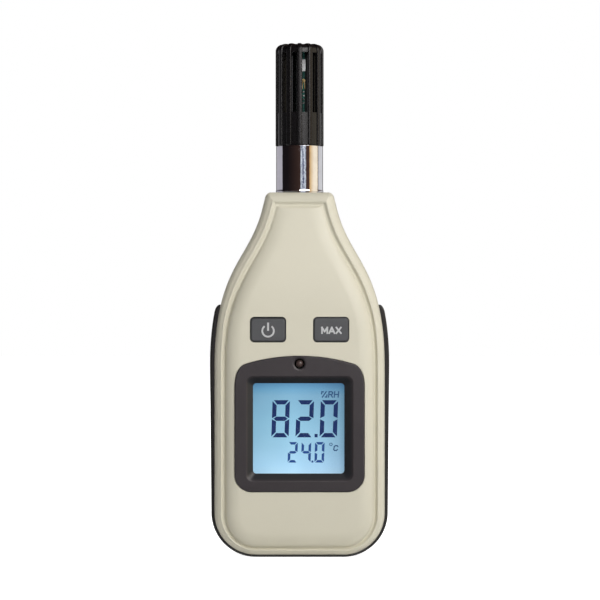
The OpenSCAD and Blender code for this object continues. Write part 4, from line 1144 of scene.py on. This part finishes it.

# Sensor board: a narrow teal board that stands in the holder, behind the slots of the guard.
# It carries the white humidity element, the tan bead of the thermistor and some solder pads.
# Towards both sides its colour is darkened with painted shade, where the guard keeps the light off.
sensor_high = box_mm("sensor_board")[1]
element_low, element_high = box_mm("humidity_sensor")
ELEMENT_X = (-0.7, 2.25)
SHADOW = srgb(10, 14, 14)
SHADOW_EDGES = ((1.5, 2.1), (-0.6, -1.0))
PAD_SIZE = 0.6
PAD_Y = (-0.3, 0.02)
PAD_X = (0.1, 1.5)
PAD_PITCH = 1.4
PAD_DROP = 15.8
PAD_ROWS = 4

board_teal = board_finish("board_teal", srgb(20, 62, 58), srgb(56, 112, 104), 0.9, Specular_IOR_Level=0.08)
# Painted shade darkens both sides of the board.
for start, end in SHADOW_EDGES:
    painted_shade_along(board_teal, "X", start, end, SHADOW)
paint("sensor_board", board_teal)


def chip(name, x, y, z, edge):
    """A small flat block between two places on each axis, with its front edges broken."""
    w, h = x[1] - x[0], z[1] - z[0]
    rows = [(y[0], w - 2 * edge, h - 2 * edge), (y[0] + edge / 3, w - edge, h - edge), (y[0] + edge, w, h),
            (y[1], w, h)]
    return stack(name, [(depth, round_rect(across, up, edge, (x[1] + x[0]) / 2, (z[1] + z[0]) / 2))
                        for depth, across, up in rows])


element = chip("humidity_element", ELEMENT_X, (element_low.y, element_high.y),
               (element_low.z, element_high.z), 0.25)
soften(element, 50)
white_element = moulded("white_element", srgb(244, 244, 246), 0.5, grain=0.2, mottle=0.01, blotch=2)
dress(element, white_element, "meter", "white_element", "humidity_sensor")
tan_bead = moulded("tan_bead", srgb(196, 170, 118), 0.25, grain=0.4, mottle=0.15, blotch=0.6)
paint("temperature_sensor", tan_bead)
pads = []
for i in range(PAD_ROWS):
    z = sensor_high.z - PAD_DROP - PAD_PITCH * i
    for x in PAD_X:
        pads.append(chip("solder_pads", (x - PAD_SIZE / 2, x + PAD_SIZE / 2), PAD_Y, (z, z + PAD_SIZE), 0.08))
solder_pads = carve(pads[0], added=pads[1:])
soften(solder_pads, 50)
dress(solder_pads, tinned, "meter", "board_teal")
paint("sensor_cable", moulded("grey_ribbon", srgb(142, 143, 147), 0.5, grain=0.5, mottle=0.06))
paint("sensor_plug", moulded("plug_nylon", srgb(234, 229, 210), 0.5, mottle=0.03))

# Sensor guard: a glossy black cap that pushes on to the holder, with thirteen long slots.
# Between the slots stand rounded ribs, and their flutes run on over the collar and the end.
guard_low, guard_high = box_mm("sensor_guard")
SLOTS = 13
SLOT_W = 2.3
GUARD_R = 9.2
GUARD_WALL = 1.5
GUARD_END_R = 2.6
COLLAR_R = 8.05
COLLAR_TOP_Z = guard_low.z + 9
SLOT_LOW_Z = guard_low.z + 12.6
SLOT_HIGH_Z = guard_high.z - 3.5
FLUTE_D = 0.5
FLUTE_END_R = 4
RIB_ROUND = ((1, 0), (0.5, 0.0), (0.26, 0.05), (0.1, 0.18))


def guard_profile():
    """Radius, height and outward direction of the outside, from the lower edge to the middle of the
    end, then radius and height of the inside, back down."""
    heights = [guard_low.z + 0.25, COLLAR_TOP_Z, SLOT_LOW_Z, (SLOT_LOW_Z + SLOT_HIGH_Z) / 2, SLOT_HIGH_Z]
    outside = [(GUARD_R - 0.2, guard_low.z, 1, 0)] + [(GUARD_R, z, 1, 0) for z in heights]
    for a in arc((0, 90), 8):
        outside.append((GUARD_R - GUARD_END_R * (1 - math.cos(a)),
                        guard_high.z - GUARD_END_R * (1 - math.sin(a)), math.cos(a), math.sin(a)))
    outside += [(FLUTE_END_R + 0.3, guard_high.z, 0, 1), (FLUTE_END_R, guard_high.z, 0, 1),
                (0, guard_high.z, 0, 1)]
    inner_r = GUARD_R - GUARD_WALL
    top = guard_high.z - GUARD_WALL
    inside = [(0, top), (inner_r - 0.4, top), (inner_r, top - 0.4)]
    inside += [(inner_r, z) for z in (SLOT_HIGH_Z, (SLOT_LOW_Z + SLOT_HIGH_Z) / 2, SLOT_LOW_Z, COLLAR_TOP_Z)]
    return outside, inside + [(COLLAR_R, COLLAR_TOP_Z), (COLLAR_R, guard_low.z)]


def guard_sector():
    """One slot with half a rib on either side, about the X axis."""
    edge = math.asin(SLOT_W / 2 / GUARD_R)
    half = math.pi / SLOTS
    left = [(-mix(edge, half, share), drop) for share, drop in RIB_ROUND] + [(-edge, FLUTE_D)]
    columns = left + [(0, FLUTE_D)] + [(-a, drop) for a, drop in reversed(left)]
    first, last = len(left) - 1, len(left) + 1
    outside, inside = guard_profile()
    shape = bmesh.new()
    rows = []
    for r, z, out, up in outside:
        deep = [drop if r > FLUTE_END_R else 0 for _, drop in columns]
        rows.append([shape.verts.new(Vector(((r - d * out) * math.cos(a), (r - d * out) * math.sin(a),
                                             z - d * up)) * MM) for (a, _), d in zip(columns, deep)])
    for r, z in inside:
        rows.append([shape.verts.new(Vector((r * math.cos(a), r * math.sin(a), z)) * MM)
                     for a, _ in columns])
    heights = [row[1] for row in outside + inside]
    slot_rows = [i for i, z in enumerate(heights) if SLOT_LOW_Z - 0.01 <= z <= SLOT_HIGH_Z + 0.01]
    outer = [i for i in slot_rows if i < len(outside)]
    inner = [i for i in slot_rows if i >= len(outside)][::-1]
    for i in range(len(rows)):
        k = (i + 1) % len(rows)
        in_slot = (i in outer and k in outer) or (i in inner and k in inner)
        for j in range(len(columns) - 1):
            if not (in_slot and first <= j < last):
                shape.faces.new((rows[i][j], rows[i][j + 1], rows[k][j + 1], rows[k][j]))
    for (i, k), (m, n) in zip(zip(outer, outer[1:]), zip(inner, inner[1:])):
        for j in (first, last):
            shape.faces.new((rows[i][j], rows[k][j], rows[n][j], rows[m][j]))
    for i, m in ((outer[0], inner[0]), (outer[-1], inner[-1])):
        for j in (first, first + 1):
            shape.faces.new((rows[i][j], rows[i][j + 1], rows[m][j + 1], rows[m][j]))
    bmesh.ops.remove_doubles(shape, verts=shape.verts, dist=1e-7)
    return add_piece("guard", shape)


def ring_tree():
    """Copies of a sector turned about the Z axis until they close up."""
    tree, source = shape_tree("ring_of_slots", {"Slots": "NodeSocketInt", "First turn": "NodeSocketFloat",
                                                "Weld": "NodeSocketFloat", "Material": "NodeSocketMaterial"})
    points = add_node(tree, "GeometryNodePoints", Count=source.outputs["Slots"])
    step = reckon(tree, "DIVIDE", 2 * math.pi, source.outputs["Slots"])
    index = add_node(tree, "GeometryNodeInputIndex").outputs["Index"]
    turn = reckon(tree, "MULTIPLY_ADD", index, step, source.outputs["First turn"])
    angles = add_node(tree, "ShaderNodeCombineXYZ", Z=turn)
    rotation = add_node(tree, "FunctionNodeEulerToRotation", Euler=angles.outputs["Vector"])
    copies = add_node(tree, "GeometryNodeInstanceOnPoints", Points=points.outputs[0],
                      Instance=source.outputs["Geometry"], Rotation=rotation.outputs["Rotation"])
    end_tree(tree, source, copies.outputs["Instances"], source.outputs["Weld"])
    return tree


guard_plastic = moulded("guard_plastic", srgb(16, 14, 16), 0.28, grain=0.6, relief=0.01, mottle=0.15,
                        blotch=4, specular=0.25)
guard = guard_sector()
grow_shape(guard, ring_tree(), Slots=SLOTS, First_turn=math.pi / SLOTS - math.pi / 2, Weld=2e-6,
           Material=guard_plastic)
soften(guard, 38)
dress(guard, guard_plastic, "sensor_guard", "guard_plastic", "sensor_guard")

# Screws: four steel thread-forming screws with cross recesses close the case from behind, and
# four smaller ones hold the board to the front cover.
THREAD_PITCH = 1.0
THREAD_ROOT = 0.8
POINT_SHARE = 0.3
HEAD_EDGE = 0.45
CROSS_W = 0.3


def screw_shape(head_r, head_y, head_h, shank_r, tip_y, cross):
    """A pan-head screw about the Y axis, whose head faces +Y."""
    rows = [(tip_y, POINT_SHARE * shank_r), (tip_y + shank_r, shank_r)]
    turns = int((head_y - tip_y - shank_r - 0.6) / THREAD_PITCH)
    for i in range(turns):
        y = tip_y + shank_r + 0.3 + THREAD_PITCH * i
        rows += [(y, THREAD_ROOT * shank_r), (y + THREAD_PITCH / 2, shank_r)]
    rows += [(head_y, THREAD_ROOT * shank_r), (head_y, head_r)]
    rows += [(head_y + head_h * mix(HEAD_EDGE, 1, math.sin(a)), head_r * mix(HEAD_EDGE, 1, math.cos(a)))
             for a in arc((0, 90), 6)]
    top = head_y + head_h
    slots = [block((-w, w), (top - 0.5 * head_h, top + 1), (-h, h))
             for w, h in ((cross, CROSS_W), (CROSS_W, cross))]
    return carve(turned("screw", rows, steps=32), slots)


def screw_tree():
    """A copy of a screw at each point, each turned by a random share of a quarter turn."""
    tree, source = shape_tree("screws_at_points", {"Screw": "NodeSocketObject", "Seed": "NodeSocketInt",
                                                   "Material": "NodeSocketMaterial"})
    screw = add_node(tree, "GeometryNodeObjectInfo", Object=source.outputs["Screw"])
    turn = add_node(tree, "FunctionNodeRandomValue", data_type="FLOAT")
    floats = [s for s in turn.inputs if s.enabled and s.type == "VALUE"]
    floats[1].default_value = math.pi / 2
    tree.links.new(source.outputs["Seed"], [s for s in turn.inputs if s.name == "Seed"][0])
    value = [s for s in turn.outputs if s.enabled][0]
    angles = add_node(tree, "ShaderNodeCombineXYZ", Y=value)
    rotation = add_node(tree, "FunctionNodeEulerToRotation", Euler=angles.outputs["Vector"])
    copies = add_node(tree, "GeometryNodeInstanceOnPoints", Points=source.outputs["Geometry"],
                      Instance=screw.outputs["Geometry"], Rotation=rotation.outputs["Rotation"])
    end_tree(tree, source, copies.outputs["Instances"])
    return tree


steel = moulded("steel_screw", srgb(150, 151, 155), 0.34, grain=0.3, mottle=0.1, blotch=1.5, metallic=1.0)
board_high = box_mm("main_board")[1]
board_screws_low, board_screws_high = box_mm("board_screws")
BOARD_HEAD_R = 1.9
BOARD_SCREW_X = 18.5
BOARD_SCREW_PLACES = [(side * x, z) for side in (-1, 1)
                      for x, z in ((BOARD_SCREW_X, board_screws_low.z + BOARD_HEAD_R),
                                   (board_screws_high.x - BOARD_HEAD_R, board_screws_high.z - BOARD_HEAD_R))]
case_screw = screw_shape(head_r=SCREW_HEAD_R, head_y=SCREW_SEAT_Y + 0.05, head_h=1.8, shank_r=1.3,
                         tip_y=screws_low.y, cross=1.3)
board_screw = screw_shape(head_r=BOARD_HEAD_R, head_y=board_high.y + 0.05, head_h=1.35, shank_r=1.0,
                          tip_y=board_screws_low.y, cross=0.9)
screws = screw_tree()
for name, node, shape, places, seed in (
    ("screws_of_case", "case_screws", case_screw, SCREW_PLACES, 3),
    ("screws_of_board", "board_screws", board_screw, BOARD_SCREW_PLACES, 5),
):
    points = bpy.data.meshes.new(name)
    points.from_pydata([Vector((x, 0, z)) * MM for x, z in places], [], [])
    group = add_object(name, points)
    grow_shape(group, screws, Screw=shape, Seed=seed, Material=steel)
    bpy.data.objects.remove(shape)
    soften(group, 40)
    dress(group, steel, "meter", "steel_screw", node)

# Stage: a plain white floor and surround. A large soft lamp stands up and to the right in front,
# a weaker one near the camera, and one behind. Cards round it show in gloss and through clear pieces.
FLOOR_SIZE = 6
ROOM = 0.16
KEY_LIGHT = 9.7
FRONT_LIGHT = 1.1
BACK_LIGHT = 9
WHITE = (1, 1, 1, 1)
SEEN = ("Is Camera Ray", "Is Glossy Ray", "Is Transmission Ray")
AIM = Vector((0, 0, 0.09))
WALL_NEAR = (0.14, 0.2)
WALL_TOP = (0.12, 0.2)
WALL_MIDDLE = (0.84, 0.94)


def seen_ray(tree, kinds):
    """One where a ray is of any of the kinds, and otherwise nought."""
    path = add_node(tree, "ShaderNodeLightPath").outputs
    share = path[kinds[0]]
    for kind in kinds[1:]:
        share = reckon(tree, "MAXIMUM", share, path[kind])
    return share


def sheet(name, place, across, rise):
    """A flat sheet, from its middle and its two half sides."""
    place, across, rise = Vector(place), Vector(across), Vector(rise)
    mesh = bpy.data.meshes.new(name)
    mesh.from_pydata([place - across - rise, place + across - rise, place + across + rise,
                      place - across + rise], [], [(0, 1, 2, 3)])
    return add_object(name, mesh)


floor = sheet("floor", (0, 0, 0), (FLOOR_SIZE / 2, 0, 0), (0, FLOOR_SIZE / 2, 0))
white_floor, tree, shader, place = bare_material("white_floor", Base_Color=(0.85, 0.85, 0.85, 1),
                                                 Roughness=0.9, Specular_IOR_Level=0, Emission_Color=WHITE)
set_node(tree, shader, Emission_Strength=span(tree, seen_ray(tree, SEEN), 0, 1, 0, 0.95))
floor.data.materials.append(white_floor)

# In gloss the room is dark but for a low pale wall behind, which is dark in its middle. The camera,
# and what is seen through clear pieces, has plain white all round.
world = bpy.data.worlds.new("studio")
world.use_nodes = True
bpy.context.scene.world = world
tree = world.node_tree
axes = add_node(tree, "ShaderNodeSeparateXYZ",
                Vector=add_node(tree, "ShaderNodeTexCoord").outputs["Generated"]).outputs
turn = span(tree, axes["X"], -1, 1)
side = reckon(tree, "MULTIPLY_ADD", axes["X"], -0.1, axes["Y"])
behind = reckon(tree, "MULTIPLY", span(tree, side, *WALL_NEAR), span(tree, axes["Z"], *WALL_TOP, 1, 0))
wall = blend_by(tree, turn, (0.67, 0.65, 0.7, 1), WHITE, 0.45, 0.55)
dark = blend_by(tree, turn, (0.014, 0.011, 0.012, 1), (0.11, 0.06, 0.045, 1), 0.05, 0.85)
wall = mixed(tree, span(tree, axes["Y"], *WALL_MIDDLE), wall, (0.04, 0.04, 0.045, 1))
room = set_node(tree, tree.nodes["Background"], Color=WHITE, Strength=ROOM)
shown = mixed(tree, seen_ray(tree, ("Is Camera Ray", "Is Transmission Ray")), mixed(tree, behind, dark, wall),
              WHITE)
surround = add_node(tree, "ShaderNodeBackground", Color=shown, Strength=1)
chosen = tree.nodes.new("ShaderNodeMixShader")
for socket, source in zip(chosen.inputs, (seen_ray(tree, SEEN), room.outputs[0], surround.outputs[0])):
    tree.links.new(source, socket)
tree.links.new(chosen.outputs[0], tree.nodes["World Output"].inputs["Surface"])


def soft_lamp(name, place, width, height, power, colour=(1, 1, 1), gloss=True):
    data = bpy.data.lights.new(name, "AREA")
    data.shape = "RECTANGLE"
    data.size = width
    data.size_y = height
    data.energy = power
    data.color = colour
    lamp = add_object(name, data)
    lamp.location = place
    lamp.rotation_euler = (AIM - Vector(place)).to_track_quat("-Z", "Y").to_euler()
    lamp.visible_camera = False
    lamp.visible_glossy = gloss


soft_lamp("upper_right_lamp", (0.58, -0.85, 0.66), width=0.7, height=0.7, power=KEY_LIGHT,
          colour=(1, 0.99, 0.97))
soft_lamp("front_lamp", (0.5, -1.1, 0.3), width=0.9, height=0.3, power=FRONT_LIGHT,
          colour=(0.9, 0.95, 1), gloss=False)
soft_lamp("rear_lamp", (-0.45, 1.1, 0.75), width=0.9, height=0.9, power=BACK_LIGHT, gloss=False)


def card(name, place, across, rise, strength, **values):
    """A sheet of light that shows in gloss and through clear pieces, from its middle and its two half
    sides. Returns its node tree, its shader and the place on it."""
    light = sheet(name, place, across, rise)
    material, tree, shader, spot = bare_material(name, Base_Color=BLACK, Specular_IOR_Level=0,
                                                 Emission_Strength=strength, **values)
    light.data.materials.append(material)
    light.visible_camera = False
    light.visible_diffuse = False
    light.visible_shadow = False
    return tree, shader, spot


tree, shader, spot = card("warm_card", place=(0.579, -0.158, 0.25), across=(0.074, 0.27, 0),
                          rise=(0, 0, 0.45), strength=1.6)
axes = add_node(tree, "ShaderNodeSeparateXYZ", Vector=spot).outputs
set_node(tree, shader, Emission_Color=blend_by(tree, span(tree, axes["Y"], -0.43, 0.11),
                                               srgb(214, 176, 118), srgb(255, 242, 214), 0.05, 0.5))

tree, shader, spot = card("sky_card", place=(0.39, -1.2, 0.17), across=(0.29, 0.08, 0),
                          rise=(0, 0, 0.102), strength=1.6)
stretched = add_node(tree, "ShaderNodeMapping", Vector=spot, Scale=(0.08, 0.08, 1),
                     Rotation=(0, 0.6, 0)).outputs["Vector"]
set_node(tree, shader, Emission_Color=blend_by(tree, noise(tree, stretched, 13, 2), (0.03, 0.05, 0.13, 1),
                                               (0.9, 0.97, 1, 1), 0.46, 0.54))

card("guard_card", place=(0.32, -1.2, 0.48), across=(0.32, 0.08, 0), rise=(0, 0, 0.18), strength=8.0,
     Emission_Color=srgb(245, 240, 240))
card("floor_card", place=(0, -1.1, 0.0015), across=(0.6, 0, 0), rise=(0, 1.08, 0), strength=1.0,
     Emission_Color=srgb(24, 22, 21))
